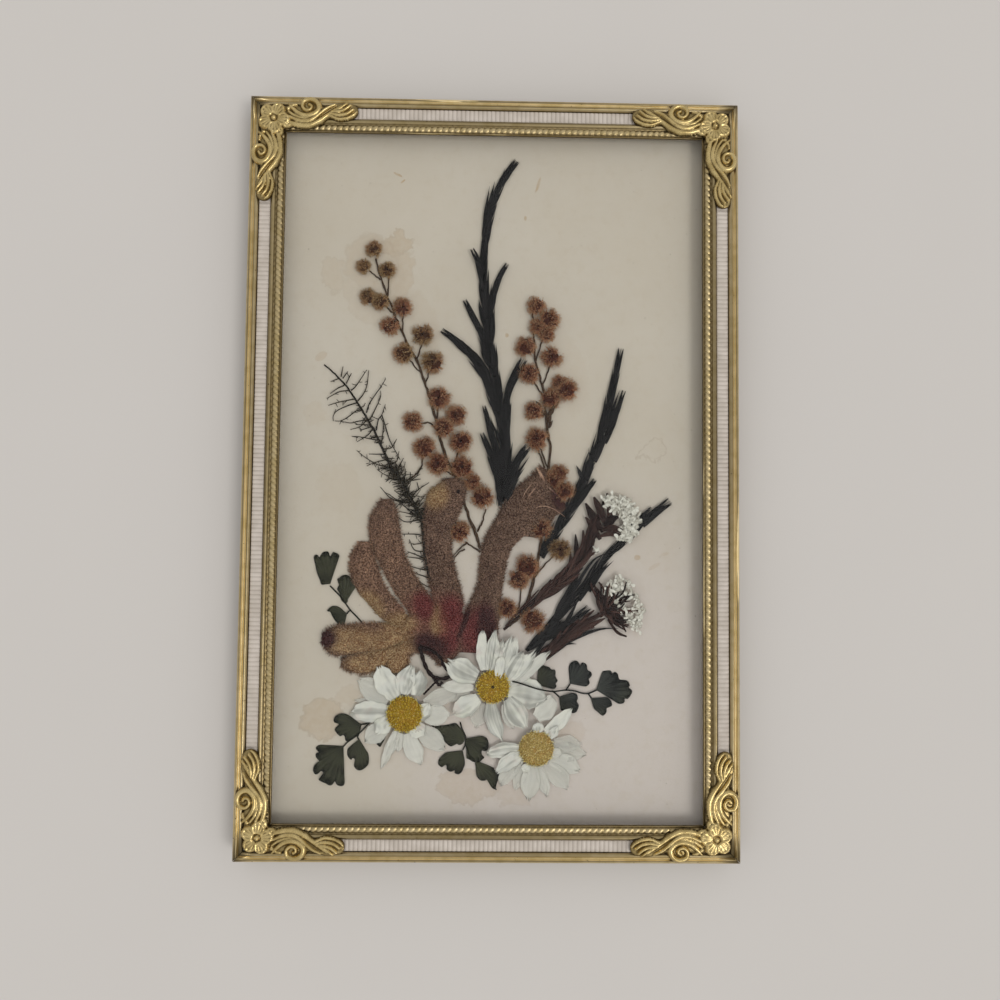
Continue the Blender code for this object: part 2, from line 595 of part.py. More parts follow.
def build_feather(materials):
    blades = [FEATHER_STEM]
    for (root_x, root_y), (tip_x, tip_y) in FEATHER_BRANCHLETS:
        middle = (0.5 * (root_x + tip_x), 0.5 * (root_y + tip_y) - 0.5)
        blades.append(([(root_x, root_y), middle, (tip_x, tip_y)], 0.5, 0.2))
    low, high = layer_range(1)
    solids = []
    for number, (points, first, last) in enumerate(blades):
        trim = 0.003 * number
        solids.append(ribbon(points, first, last, low + trim, high - trim))
    fuse("feather_sprig", solids, materials["feather_leaf"])


def build_white_sprigs(materials):
    for name, blades in WHITE_SPRIGS.items():
        build_blades(name, blades, 3 if name.endswith("upper") else 4, materials["brown_bract"])
    for name, (x, y, half_x, half_y) in WHITE_FLORETS.items():
        low, high = layer_range(5)
        rings = []
        for scale, height in ((0.7, low), (1.0, low + 0.08), (1.0, low + 0.14), (0.7, high + 0.05)):
            rings.append([(x + half_x * scale * math.cos(a), y + half_y * scale * math.sin(a), height)
                          for a in (2.0 * math.pi * i / 16 for i in range(16))])
        new_object(name, *loft(rings), materials["white_floret"])


def fan_outline(x, y, direction, length, spread):
    """A wedge leaflet with a rounded, lobed outer edge."""
    outline = [(x, y)]
    steps = 8
    for step in range(steps + 1):
        share = step / steps - 0.5
        angle = math.radians(direction + spread * share)
        reach = length * (1.0 - 0.5 * share * share) * (1.0 if step % 2 == 0 else 0.9)
        outline.append((x + reach * math.cos(angle), y + reach * math.sin(angle)))
    return outline


def build_ferns(materials):
    low, high = layer_range(0)
    for name, spec in FERNS.items():
        solids = [ribbon(*spec["stem"], low + 0.03, high - 0.03)]
        for number, (x, y, direction, length, spread) in enumerate(spec["leaflets"]):
            trim = 0.004 * number
            outline = fan_outline(x, y, direction, length, spread)
            solids.append(prism(outline, low + trim, high - trim))
            angle = math.radians(direction)
            inside = (x + 1.2 * math.cos(angle), y + 1.2 * math.sin(angle))
            near, _ = nearest_on_stems(x, y, [spec["stem"]])
            solids.append(ribbon([inside, near], 0.5, 0.4, low + 0.035 + trim, high - 0.035 - trim))
        fuse(name, solids, materials["fern_leaf"])


def main():
    clear_scene()
    materials = make_materials()
    build_frame(materials)
    build_corners(materials)
    build_stack(materials)
    build_tabs(materials)
    build_hanger(materials)
    build_ferns(materials)
    for name, blades in DARK_SPRIGS.items():
        build_blades(name, blades, 1, materials["dark_leaf"])
    build_feather(materials)
    build_wattle("wattle_left", WATTLE_LEFT, materials)
    build_wattle("wattle_right", WATTLE_RIGHT, materials)
    build_white_sprigs(materials)
    build_paw(materials)
    build_daisies(materials)


main()
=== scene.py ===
"""Looks of the pressed flower frame: moulding, ornaments, card and every pressed specimen.

Lengths in this script are millimetres until a mesh is made; heights are above the back rim.
"""
import math

import bmesh
import bpy
import numpy as np
from mathutils import Matrix, Vector


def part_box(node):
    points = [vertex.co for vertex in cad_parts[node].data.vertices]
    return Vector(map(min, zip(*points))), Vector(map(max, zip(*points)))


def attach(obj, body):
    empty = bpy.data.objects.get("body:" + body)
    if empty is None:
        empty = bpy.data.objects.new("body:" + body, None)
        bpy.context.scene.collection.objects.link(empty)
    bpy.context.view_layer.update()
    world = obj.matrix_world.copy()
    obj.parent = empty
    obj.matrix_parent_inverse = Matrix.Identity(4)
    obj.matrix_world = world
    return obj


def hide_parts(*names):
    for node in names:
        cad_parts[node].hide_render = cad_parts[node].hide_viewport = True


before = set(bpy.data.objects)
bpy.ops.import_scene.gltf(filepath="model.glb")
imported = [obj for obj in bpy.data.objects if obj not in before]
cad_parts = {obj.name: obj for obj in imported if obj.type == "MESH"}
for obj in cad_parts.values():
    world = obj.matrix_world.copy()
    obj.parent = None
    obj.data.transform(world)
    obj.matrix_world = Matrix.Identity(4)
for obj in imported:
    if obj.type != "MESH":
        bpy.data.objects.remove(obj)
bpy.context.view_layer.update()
MM = 0.001
RNG = np.random.default_rng(31)


def box_mm(node):
    low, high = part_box(node)
    return np.array(low) / MM, np.array(high) / MM


RAIL_LOW, RAIL_HIGH = box_mm("rail_top")
SIDE_LOW, SIDE_HIGH = box_mm("rail_left")
WIDTH = RAIL_HIGH[0] - RAIL_LOW[0]
HEIGHT = SIDE_HIGH[1] - SIDE_LOW[1]
CARD_TOP = box_mm("mount_card")[1][2]
GLASS_BOTTOM = box_mm("glass_pane")[0][2]


# --- materials ------------------------------------------------------------------------------
def linear(red, green, blue):
    """A colour given as 0 to 255 steps of sRGB, as linear values with alpha."""
    made = []
    for step in (red, green, blue):
        share = step / 255
        made.append(share / 12.92 if share <= 0.04045 else ((share + 0.055) / 1.055) ** 2.4)
    return (*made, 1.0)


class Look:
    """One Principled material, with short calls for the nodes that feed it."""

    def __init__(self, name, **values):
        self.material = bpy.data.materials.new(name)
        self.material.use_nodes = True
        self.tree = self.material.node_tree
        self.shader = self.tree.nodes["Principled BSDF"]
        self.set(**values)

    def set(self, **values):
        for key, value in values.items():
            self.feed(self.shader.inputs[key.replace("_", " ")], value)

    def feed(self, socket, value):
        if isinstance(value, bpy.types.NodeSocket):
            self.tree.links.new(value, socket)
        elif value is not None:
            socket.default_value = value

    def node(self, kind, *values, out=0, **settings):
        made = self.tree.nodes.new("ShaderNode" + kind)
        for key, value in settings.items():
            setattr(made, key, value)
        for socket, value in zip(made.inputs, values):
            self.feed(socket, value)
        return made.outputs[out]

    def place(self):
        """Object coordinates in millimetres."""
        found = self.node("TexCoord", out=3)
        return self.node("VectorMath", found, (1 / MM, 1 / MM, 1 / MM), operation="MULTIPLY")

    def noise(self, scale, detail=3.0, rough=0.5, stretch=None, shift=0.0, out=0):
        at = self.place()
        if stretch:
            at = self.node("VectorMath", at, stretch, operation="MULTIPLY")
        if shift:
            at = self.node("VectorMath", at, (shift, shift, shift), operation="ADD")
        return self.node("TexNoise", at, None, scale, detail, rough, out=out)

    def ramp(self, value, *stops):
        """Colours between stops of (place, colour)."""
        made = self.tree.nodes.new("ShaderNodeValToRGB")
        elements = made.color_ramp.elements
        while len(elements) < len(stops):
            elements.new(1.0)
        for element, (spot, colour) in zip(elements, stops):
            element.position = spot
            element.color = colour
        self.feed(made.inputs[0], value)
        return made.outputs[0]

    def span(self, value, low, high, first=0.0, last=1.0):
        """value from low to high becomes first to last, smoothly, and stays there outside."""
        return self.node("MapRange", value, low, high, first, last, interpolation_type="SMOOTHSTEP")

    def sum(self, one, two, operation="ADD", clamp=False):
        return self.node("Math", one, two, operation=operation, use_clamp=clamp)

    def mix(self, share, one, two, blend="MIX"):
        made = self.tree.nodes.new("ShaderNodeMix")
        made.data_type = "RGBA"
        made.blend_type = blend
        self.feed(made.inputs[0], share)
        self.feed(made.inputs[6], one)
        self.feed(made.inputs[7], two)
        return made.outputs[2]

    def zone(self, x, y, half_x, half_y, turn=0.0):
        """1 about the middle of an oval on the card, fading to 0 at its edge."""
        at = self.node("Mapping", self.place(), (x, y, 0.0), (0.0, 0.0, math.radians(turn)),
                       (half_x, half_y, 1e4), vector_type="TEXTURE")
        return self.span(self.node("VectorMath", at, operation="LENGTH", out=1), 0.4, 1.0, 1.0, 0.0)

    def tone(self, name="tone"):
        return self.node("Attribute", attribute_name=name, out=2)

    def bump(self, height, distance, strength=1.0):
        made = self.tree.nodes.new("ShaderNodeBump")
        made.inputs["Strength"].default_value = strength
        made.inputs["Distance"].default_value = distance * MM
        self.feed(made.inputs["Height"], height)
        self.set(Normal=made.outputs[0])


def brass(name, bright, dark, roughness):
    look = Look(name, Metallic=1.0)
    broad = look.noise(0.35, 4.0)
    fine = look.noise(3.0, 4.0, 0.6)
    colour = look.mix(look.span(broad, 0.35, 0.7), bright, dark)
    crevice = look.node("NewGeometry", out=7)
    colour = look.mix(look.span(crevice, 0.44, 0.5, 0.85, 0.0), colour, linear(64, 50, 28))
    colour = look.mix(look.span(look.tone(), 0.0, 0.7, 0.85, 0.0), colour, linear(92, 76, 46))
    specks = look.span(look.noise(1.6, 2.0, 0.5, shift=9.0), 0.70, 0.76)
    look.set(Base_Color=look.mix(specks, colour, linear(74, 52, 34)))
    worn = look.span(fine, 0.3, 0.75, roughness - 0.07, roughness + 0.1)
    look.set(Roughness=look.sum(worn, look.sum(specks, 0.3, "MULTIPLY")))
    look.bump(fine, 0.02)
    return look.material


def steel():
    look = Look("steel_look", Metallic=1.0)
    grain = look.noise(0.8, 5.0, 0.7, stretch=(1.0, 14.0, 1.0))
    look.set(Base_Color=look.ramp(grain, (0.3, linear(150, 146, 138)), (0.75, linear(196, 192, 184))))
    look.set(Roughness=look.span(grain, 0.3, 0.8, 0.28, 0.5))
    look.bump(grain, 0.01)
    return look.material


def board():
    look = Look("board_look")
    pulp = look.noise(0.7, 6.0, 0.7)
    look.set(Base_Color=look.ramp(pulp, (0.25, linear(92, 80, 66)), (0.75, linear(134, 120, 102))))
    look.set(Roughness=look.span(pulp, 0.2, 0.8, 0.8, 0.98))
    look.bump(look.noise(4.0, 5.0, 0.8), 0.05)
    return look.material


def ribbed():
    look = Look("ribbed_look")
    soft = look.noise(0.25, 4.0)
    colour = look.mix(look.span(soft, 0.3, 0.7), linear(208, 198, 188), linear(192, 182, 171))
    # Painted shade: the valleys between the ribs, where the tone is low, are darkened.
    low = look.span(look.tone(), 0.0, 0.8, 0.4, 0.0)
    look.set(Base_Color=look.mix(low, colour, linear(120, 108, 92)))
    look.set(Roughness=look.span(soft, 0.3, 0.7, 0.42, 0.58))
    look.bump(look.noise(6.0, 3.0), 0.02)
    return look.material


def glass():
    """Clear glass that lamps shine through, with the reflection of a flat pane."""
    look = Look("glass_look")
    tree = look.tree
    tree.nodes.remove(look.shader)
    shine = look.tree.nodes.new("ShaderNodeBsdfGlossy")
    shine.inputs["Roughness"].default_value = 0.03
    clear = look.tree.nodes.new("ShaderNodeBsdfTransparent")
    smear = look.noise(0.06, 3.0)
    clear.inputs["Color"].default_value = (0.975, 0.985, 0.98, 1.0)
    share = look.sum(look.node("Fresnel", 1.45), look.span(smear, 0.3, 0.8, 0.24, 0.34), "MULTIPLY")
    both = look.node("MixShader", share, clear.outputs[0], shine.outputs[0])
    look.feed(tree.nodes["Material Output"].inputs[0], both)
    return look.material


# Stains on the card: middle, half sizes, turn in degrees, strength, ring strength.
STAINS = [
    (-28.5, 67.5, 4.6, 3.6, 20, 0.75, 0.5), (-36.0, 62.0, 8.0, 8.5, 60, 0.45, 0.4),
    (-47.0, 58.0, 3.2, 6.0, 10, 0.35, 0.6), (-37.0, 51.0, 5.5, 9.0, 40, 0.28, 0.4),
    (-28.0, 57.0, 4.4, 8.6, -15, 0.6, 0.3), (-22.0, 44.0, 6.0, 10.0, 20, 0.22, 0.2), (-47.5, -70.5, 6.4, 6.0, 0, 0.75, 0.5),
    (-41.0, -64.0, 4.0, 3.0, 30, 0.35, 0.4), (-6.0, -89.0, 9.6, 5.0, 0, 0.55, 0.5),
    (8.0, -91.0, 6.0, 3.6, 10, 0.35, 0.4), (23.0, -75.0, 5.0, 3.6, 30, 0.35, 0.3),
    (-52.0, 17.0, 3.0, 4.0, 0, 0.25, 0.3), (-44.0, -4.0, 6.0, 8.0, 30, 0.16, 0.3),
    (22.0, 30.0, 6.0, 12.0, 10, 0.14, 0.2), (48.0, -20.0, 7.0, 9.0, 30, 0.12, 0.3),
    (12.8, 86.0, 0.45, 2.6, -20, 1.2, 0.0), (-28.5, 88.5, 1.5, 0.4, -30, 1.4, 0.0),
    (-27.0, 86.5, 1.0, 0.35, 40, 1.4, 0.0), (9.2, 76.0, 0.5, 0.8, 0, 1.2, 0.0), (4.0, 41.0, 0.6, 0.7, 0, 1.4, 0.0),
    (42.5, -23.5, 1.0, 0.8, 0, 1.0, 0.0), (-4.0, 60.0, 1.0, 4.0, 15, 0.4, 0.2), (-50.0, 34.0, 2.0, 1.2, 30, 0.6, 0.2), (47.2, 7.8, 4.2, 3.0, 30, 0.02, 18.0),
    (47.5, -26.0, 2.0, 0.7, 30, 0.5, 0.0), (50.5, -22.5, 1.4, 0.6, 20, 0.5, 0.0),
]


def card():
    look = Look("card_look")
    place = look.place()
    broad = look.noise(0.02, 4.0, 0.6)
    colour = look.mix(look.span(broad, 0.3, 0.7), linear(209, 197, 182), linear(213, 202, 189))
    mottle = look.noise(0.35, 5.0, 0.65)
    # Painted light: the card turns lighter and pinker towards the lower right, where the light falls.
    colour = look.mix(look.zone(34.0, -82.0, 80.0, 95.0, 20), colour, linear(217, 205, 198))
    colour = look.mix(look.span(mottle, 0.45, 0.85, 0.0, 0.35), colour, linear(200, 184, 163))
    warp = look.node("VectorMath", look.noise(0.28, 3.0, 0.6, out=1), (0.5, 0.5, 0.5),
                     operation="SUBTRACT")
    warp = look.node("VectorMath", warp, (7.0, 7.0, 0.0), operation="MULTIPLY")
    warped = look.node("VectorMath", place, warp, operation="ADD")
    tiny = look.node("VectorMath", place, look.node("VectorMath", warp, (0.12, 0.12, 0.0),
                                                    operation="MULTIPLY"), operation="ADD")
    total = ring = None
    for x, y, half_x, half_y, turn, strength, edge in STAINS:
        mapped = look.node("Mapping", warped if half_x > 2.5 else tiny, (x, y, 0.0),
                           (0.0, 0.0, math.radians(turn)), (half_x, half_y, 1e4),
                           vector_type="TEXTURE")
        distance = look.node("VectorMath", mapped, operation="LENGTH", out=1)
        inside = look.span(distance, 1.05, 0.82, 0.0, strength)
        total = inside if total is None else look.sum(total, inside, "MAXIMUM")
        if edge:
            off = look.node("Math", look.sum(distance, 0.95, "SUBTRACT"), operation="ABSOLUTE")
            line = look.span(off, 0.0, 0.11, edge * strength, 0.0)
            ring = line if ring is None else look.sum(ring, line, "MAXIMUM")
    patchy = look.sum(total, look.span(look.noise(0.5, 4.0, 0.7, shift=4.0), 0.3, 0.7, 0.55, 1.0),
                      "MULTIPLY")
    colour = look.mix(look.sum(patchy, 0.62, "MULTIPLY"), colour, linear(190, 163, 131))
    colour = look.mix(look.sum(ring, 0.55, "MULTIPLY"), colour, linear(150, 121, 87))
    dust = look.span(look.noise(1.1, 2.0, 0.5, shift=2.0), 0.74, 0.80, 0.0, 0.5)
    colour = look.mix(dust, colour, linear(120, 100, 74))
    look.set(Base_Color=colour)
    fibre = look.noise(5.0, 5.0, 0.75)
    look.set(Roughness=look.span(fibre, 0.2, 0.8, 0.75, 0.95))
    look.bump(look.sum(fibre, look.sum(mottle, 2.0, "MULTIPLY")), 0.05)
    return look.material


# --- meshes ---------------------------------------------------------------------------------
class Build:
    """Gathers parts given as vertices in millimetres, faces and a tone, and makes one piece."""

    def __init__(self):
        self.points, self.tones = [], []
        self.faces = {3: [], 4: []}
        self.count = 0

    def add(self, points, faces, tone=0.5):
        points = np.asarray(points, float).reshape(-1, 3)
        faces = np.asarray(faces, int)
        self.points.append(points)
        self.tones.append(np.broadcast_to(np.asarray(tone, float), (len(points),)))
        self.faces[faces.shape[1]].append(faces + self.count)
        self.count += len(points)
        return self

    def more(self, faces):
        """More faces on the part that was added last."""
        faces = np.asarray(faces, int)
        self.faces[faces.shape[1]].append(faces + self.count - len(self.points[-1]))

    def grid(self, points, tone=0.5, close_rows=False, close_columns=False, caps=False):
        """A sheet or, closed on itself, a tube, from an array of rows x columns x 3."""
        rows, columns = points.shape[:2]
        self.add(points, grid_faces(rows, columns, close_rows, close_columns),
                 np.broadcast_to(tone, (rows, columns)).ravel())
        if caps:
            inner = np.arange(1, columns - 1)
            fan = np.stack([np.zeros_like(inner), inner + 1, inner], 1)
            self.more(fan)
            self.more(fan[:, ::-1] + (rows - 1) * columns)
        return self

    def slab(self, points, thickness, tone=0.5):
        """A closed shell: the sheet of points and the same sheet lower by thickness."""
        rows, columns = points.shape[:2]
        under = points - np.array([0.0, 0.0, 1.0]) * np.asarray(thickness)[..., None]
        total = rows * columns
        top = grid_faces(rows, columns)
        index = np.arange(total).reshape(rows, columns)
        edge = np.concatenate([index[0, :-1], index[:-1, -1], index[-1, :0:-1], index[:0:-1, 0]])
        after = np.roll(edge, -1)
        rim = np.stack([edge + total, after + total, after, edge], 1)
        self.add(np.concatenate([points.reshape(-1, 3), under.reshape(-1, 3)]),
                 np.concatenate([top, top[:, ::-1] + total, rim]),
                 np.tile(np.broadcast_to(tone, (rows, columns)).ravel(), 2))
        return self

    def tube(self, path, across, up=None, sides=6, tone=0.5):
        """An oval tube along path; across and up are half sizes, flat in the card's plane."""
        path = np.asarray(path, float)
        across = np.broadcast_to(np.asarray(across, float), (len(path),))
        up = across if up is None else np.broadcast_to(np.asarray(up, float), (len(path),))
        run = np.gradient(path, axis=0)
        run /= np.linalg.norm(run, axis=1, keepdims=True) + 1e-12
        side = np.stack([-run[:, 1], run[:, 0], np.zeros(len(run))], 1)
        side /= np.linalg.norm(side, axis=1, keepdims=True) + 1e-12
        top = np.cross(run, side)
        turn = 2 * np.pi * (np.arange(sides) + 0.5) / sides
        ring = (path[:, None] + side[:, None] * (across[:, None] * np.cos(turn))[..., None]
                + top[:, None] * (up[:, None] * np.sin(turn))[..., None])
        tone = np.broadcast_to(np.asarray(tone, float), (len(path),))[:, None]
        return self.grid(ring, np.broadcast_to(tone, (len(path), sides)), close_columns=True, caps=True)

    def spikes(self, base, tip, width, tone=0.5):
        """A three-sided spike from each base to its tip."""
        base, tip = np.asarray(base, float), np.asarray(tip, float)
        run = tip - base
        run /= np.linalg.norm(run, axis=1, keepdims=True) + 1e-12
        helper = np.where(np.abs(run[:, 2:]) < 0.8, [[0.0, 0.0, 1.0]], [[1.0, 0.0, 0.0]])
        side = np.cross(run, helper)
        side /= np.linalg.norm(side, axis=1, keepdims=True)
        top = np.cross(run, side)
        width = np.broadcast_to(np.asarray(width, float), (len(base),))[:, None]
        corners = [base + width * (side * math.cos(turn) + top * math.sin(turn))
                   for turn in (0.0, 2 * math.pi / 3, 4 * math.pi / 3)]
        points = np.stack([*corners, tip], 1)
        start = 4 * np.arange(len(base))[:, None, None]
        faces = (start + np.array([[0, 1, 3], [1, 2, 3], [2, 0, 3]])).reshape(-1, 3)
        first, last = tone if isinstance(tone, tuple) else (tone, tone)
        first, last = (np.broadcast_to(part, (len(base),)) for part in (first, last))
        return self.add(points, faces, np.stack([first, first, first, last], 1).ravel())

    def piece(self, name, material, replaces=(), smooth=True, weld=False):
        points = np.concatenate(self.points) * MM
        mesh = bpy.data.meshes.new(name)
        loops, starts, sizes, at = [], [], [], 0
        for corners, groups in self.faces.items():
            for group in groups:
                loops.append(group.ravel())
                starts.append(at + corners * np.arange(len(group)))
                sizes.append(np.full(len(group), corners))
                at += group.size
        mesh.vertices.add(len(points))
        mesh.vertices.foreach_set("co", points.astype(np.float32).ravel())
        mesh.loops.add(at)
        mesh.loops.foreach_set("vertex_index", np.concatenate(loops).astype(np.int32))
        mesh.polygons.add(sum(len(group) for group in starts))
        mesh.polygons.foreach_set("loop_start", np.concatenate(starts).astype(np.int32))
        mesh.polygons.foreach_set("loop_total", np.concatenate(sizes).astype(np.int32))
        mesh.update(calc_edges=True)
        tones = mesh.attributes.new("tone", "FLOAT", "POINT")
        tones.data.foreach_set("value", np.concatenate(self.tones).astype(np.float32))
        if weld:
            work = bmesh.new()
            work.from_mesh(mesh)
            bmesh.ops.remove_doubles(work, verts=work.verts, dist=1e-6)
            bmesh.ops.dissolve_degenerate(work, edges=work.edges, dist=1e-7)
            work.to_mesh(mesh)
            work.free()
        mesh.polygons.foreach_set("use_smooth", np.full(len(mesh.polygons), smooth))
        made = bpy.data.objects.new(name, mesh)
        made.data.materials.append(material)
        bpy.context.scene.collection.objects.link(made)
        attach(made, "root")
        if replaces:
            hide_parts(*replaces)
        return made


def grid_faces(rows, columns, close_rows=False, close_columns=False):
    index = np.arange(rows * columns).reshape(rows, columns)
    if close_rows:
        index = np.concatenate([index, index[:1]], 0)
    if close_columns:
        index = np.concatenate([index, index[:, :1]], 1)
    return np.stack([index[:-1, :-1], index[1:, :-1], index[1:, 1:], index[:-1, 1:]], -1).reshape(-1, 4)


def curve(points, count):
    """count points evenly along a smooth curve through the given points."""
    points = np.asarray(points, float)
    if len(points) == 2:
        return points[0] + (points[1] - points[0]) * np.linspace(0, 1, count)[:, None]
    ends = np.concatenate([2 * points[:1] - points[1:2], points, 2 * points[-1:] - points[-2:-1]])
    share = np.linspace(0, 1, 9)[:-1, None]
    runs = []
    for a, b, c, d in zip(ends, ends[1:], ends[2:], ends[3:]):
        runs.append(0.5 * (2 * b + (c - a) * share + (2 * a - 5 * b + 4 * c - d) * share ** 2
                           + (3 * b - a - 3 * c + d) * share ** 3))
    dense = np.concatenate([*runs, points[-1:]])
    length = np.concatenate([[0], np.cumsum(np.linalg.norm(np.diff(dense, axis=0), axis=1))])
    wanted = np.linspace(0, length[-1], count)
    return np.stack([np.interp(wanted, length, column) for column in dense.T], 1)


# --- frame ----------------------------------------------------------------------------------
# The moulding's section: (inward from the outer edge, height).
SECTION = [
    (0.25, 0.0), (0.0, 0.25), (0.0, 8.9), (0.08, 9.2), (0.25, 9.42), (0.5, 9.62), (0.75, 9.68),
    (0.95, 9.5), (1.1, 9.1), (1.45, 9.05), (1.65, 9.45), (1.95, 9.7), (2.3, 9.62), (2.65, 9.4),
    (2.78, 9.1), (2.82, 8.4), (2.9, 8.2), (6.3, 8.2), (6.38, 8.5), (6.42, 9.2), (6.6, 9.4),
    (7.0, 9.5), (7.4, 9.3), (7.62, 9.1), (7.7, 8.8), (8.7, 9.05), (9.9, 9.0), (10.0, 9.1),
    (10.15, 9.2), (10.35, 9.14), (10.47, 9.0), (10.5, 8.72), (7.2, 8.72), (7.2, 0.2), (7.0, 0.0),
]
# How bright each point of the section is kept by rubbing, 0 in dark corners to 1.
RUBBED = [
    0.3, 0.3, 0.3, 0.6, 1.0, 1.0, 1.0, 0.8, 0.35, 0.35, 0.7, 1.0, 1.0, 0.8, 0.4, 0.0, 0.0,
    0.0, 0.0, 0.3, 0.5, 0.5, 0.35, 0.2, 0.05, 0.3, 0.1, 0.2, 0.35, 0.25, 0.1, 0.0, 0.0, 0.0, 0.0,
]
MITRE_GAP = 0.1
ROPE = (8.0, 10.0)
ROPE_PITCH = 1.7
RIB_PITCH = 1.25
STRIP = (3.0, 6.22)


def put(side, along, inward, height):
    """Row places from a bar's own: along it, inward from the outer edge, and height."""
    along, inward, height = np.broadcast_arrays(along, inward, height)
    x, y = {"top": (along, HEIGHT / 2 - inward), "bottom": (-along, inward - HEIGHT / 2),
            "left": (inward - WIDTH / 2, along), "right": (WIDTH / 2 - inward, -along)}[side]
    return np.stack([x, y, height], -1)


def build_rails(material):
    for side in ("top", "bottom", "left", "right"):
        length = WIDTH if side in ("top", "bottom") else HEIGHT
        made = Build()
        inward, height = np.array(SECTION).T
        reach = length / 2 - inward - MITRE_GAP
        share = np.linspace(-1, 1, 31)[:, None]
        made.grid(put(side, share * reach, inward, np.broadcast_to(height, (31, len(inward)))),
                  np.array(RUBBED), close_columns=True, caps=True)
        across = np.linspace(*ROPE, 12)
        steps = 2 * int(length / ROPE_PITCH * 3.5) + 1
        along = np.linspace(-length / 2, length / 2, steps)[:, None]
        off = (across - sum(ROPE) / 2) / (0.5 * (ROPE[1] - ROPE[0]))
        phase = ((along + 0.45 * off) / ROPE_PITCH) % 1.0 - 0.5
        dome = np.sqrt(np.clip(1 - (phase / 0.52) ** 2 - (0.92 * off) ** 2, 0, 1))
        bead = 9.02 + 0.42 * dome - 0.25 * (np.abs(off) > 0.98)
        limit = length / 2 - across - MITRE_GAP
        along = np.clip(along, -limit, limit)
        made.grid(put(side, along, across, bead), 0.45 * dome)
        made.piece(f"moulding_{side}", material, [f"rail_{side}"], weld=True)


def build_strips(material):
    for side in ("top", "bottom", "left", "right"):
        length = WIDTH if side in ("top", "bottom") else HEIGHT
        across = np.array([STRIP[0], STRIP[0], 3.1, 3.4, 4.65, 5.8, 6.1, STRIP[1], STRIP[1]])
        edge = np.array([0.0, 0.55, 0.8, 0.95, 1.0, 0.95, 0.8, 0.55, 0.0])
        steps = int(length / RIB_PITCH * 6) + 1
        along = np.linspace(-length / 2, length / 2, steps)[:, None]
        rib = np.abs(np.sin(np.pi * along / RIB_PITCH)) ** 0.7
        height = 8.45 + edge * (0.22 + 0.26 * rib)
        limit = length / 2 - across - MITRE_GAP
        along = np.clip(along, -limit, limit)
        made = Build()
        # The rib height goes in as the tone, for the painted shade in the valleys between the ribs.
        made.grid(put(side, along, across, height), np.broadcast_to(rib, height.shape),
                  close_columns=True)
        made.piece(f"ribbed_strip_{side}", material, [f"strip_{side}"], weld=True)


# A corner ornament in the corner's own places: (along the arm, inward from the edge, half width).
FLOWER = 7.0
PLATES = [
    [(9.0, 6.0, 2.7), (13.5, 6.1, 2.8)], [(13.0, 6.6, 2.8), (16.5, 6.8, 3.1), (19.5, 6.2, 2.6),
                                          (22.5, 4.8, 1.7), (25.8, 3.1, 1.0)],
    [(17.3, 4.1, 3.0), (17.6, 4.2, 3.0)], [(23.6, 5.2, 1.7), (27.0, 4.7, 2.7), (29.0, 4.6, 2.2)],
]
# Ridges: height above the plate, then points as above.
RIDGES = [
    (0.75, [(10.8, 8.0, 0.5), (12.8, 8.7, 0.8), (15.2, 9.1, 0.8), (17.6, 8.9, 0.8), (19.9, 7.8, 0.7),
            (22.2, 6.2, 0.6), (24.4, 4.6, 0.5), (26.4, 3.2, 0.3)]),
    (0.85, [(11.6, 6.6, 0.4), (13.6, 7.5, 0.6), (15.6, 7.9, 0.7), (17.4, 7.6, 0.7), (19.1, 6.6, 0.6),
            (20.7, 5.2, 0.5), (22.4, 3.9, 0.5), (24.6, 2.8, 0.3)]),
    (0.6, [(11.2, 5.0, 0.4), (13.0, 6.2, 0.5), (15.0, 6.9, 0.45), (16.8, 7.0, 0.4), (18.6, 6.2, 0.3)]),
    (1.0, [(11.2, 2.9, 0.3), (12.6, 4.4, 0.6), (14.2, 5.6, 0.7), (16.2, 6.2, 0.75), (18.4, 5.8, 0.8),
           (19.9, 4.2, 0.85), (19.4, 2.3, 0.8), (17.6, 1.4, 0.8), (15.6, 2.0, 0.7), (15.2, 3.6, 0.6),
           (16.2, 4.7, 0.55), (17.5, 4.5, 0.5), (17.9, 3.5, 0.5), (17.2, 3.0, 0.5)]),
    (0.55, [(11.0, 4.2, 0.5), (12.4, 3.2, 0.5), (13.6, 3.0, 0.3)]),
    (0.7, [(23.0, 6.1, 0.4), (25.5, 7.0, 0.5), (28.0, 6.8, 0.5), (30.0, 5.8, 0.4), (30.8, 4.9, 0.3)]),
    (0.85, [(23.2, 5.5, 0.4), (25.6, 5.9, 0.5), (28.0, 5.5, 0.5), (29.8, 4.3, 0.4)]),
    (0.9, [(23.6, 5.0, 0.4), (25.6, 4.9, 0.5), (27.4, 4.3, 0.5), (29.0, 3.1, 0.4)]),
    (0.75, [(24.4, 4.6, 0.3), (25.8, 4.0, 0.45), (27.0, 3.2, 0.45), (28.0, 2.4, 0.3)]),
    (0.5, [(10.2, 9.4, 0.5), (11.4, 9.1, 0.6), (12.2, 8.4, 0.4)]),
]


def swept(a, b, points):
    """Distance to a tapered stroke's edge, below 0 inside, and the share of its half width."""
    best = np.full(a.shape, 1e3)
    share = np.full(a.shape, 1e3)
    for (x0, y0, r0), (x1, y1, r1) in zip(points, points[1:]):
        along = ((a - x0) * (x1 - x0) + (b - y0) * (y1 - y0)) / ((x1 - x0) ** 2 + (y1 - y0) ** 2)
        along = np.clip(along, 0, 1)
        distance = np.hypot(a - x0 - along * (x1 - x0), b - y0 - along * (y1 - y0))
        radius = r0 + along * (r1 - r0)
        better = distance - radius < best
        best = np.where(better, distance - radius, best)
        share = np.where(better, distance / radius, share)
    return best, share


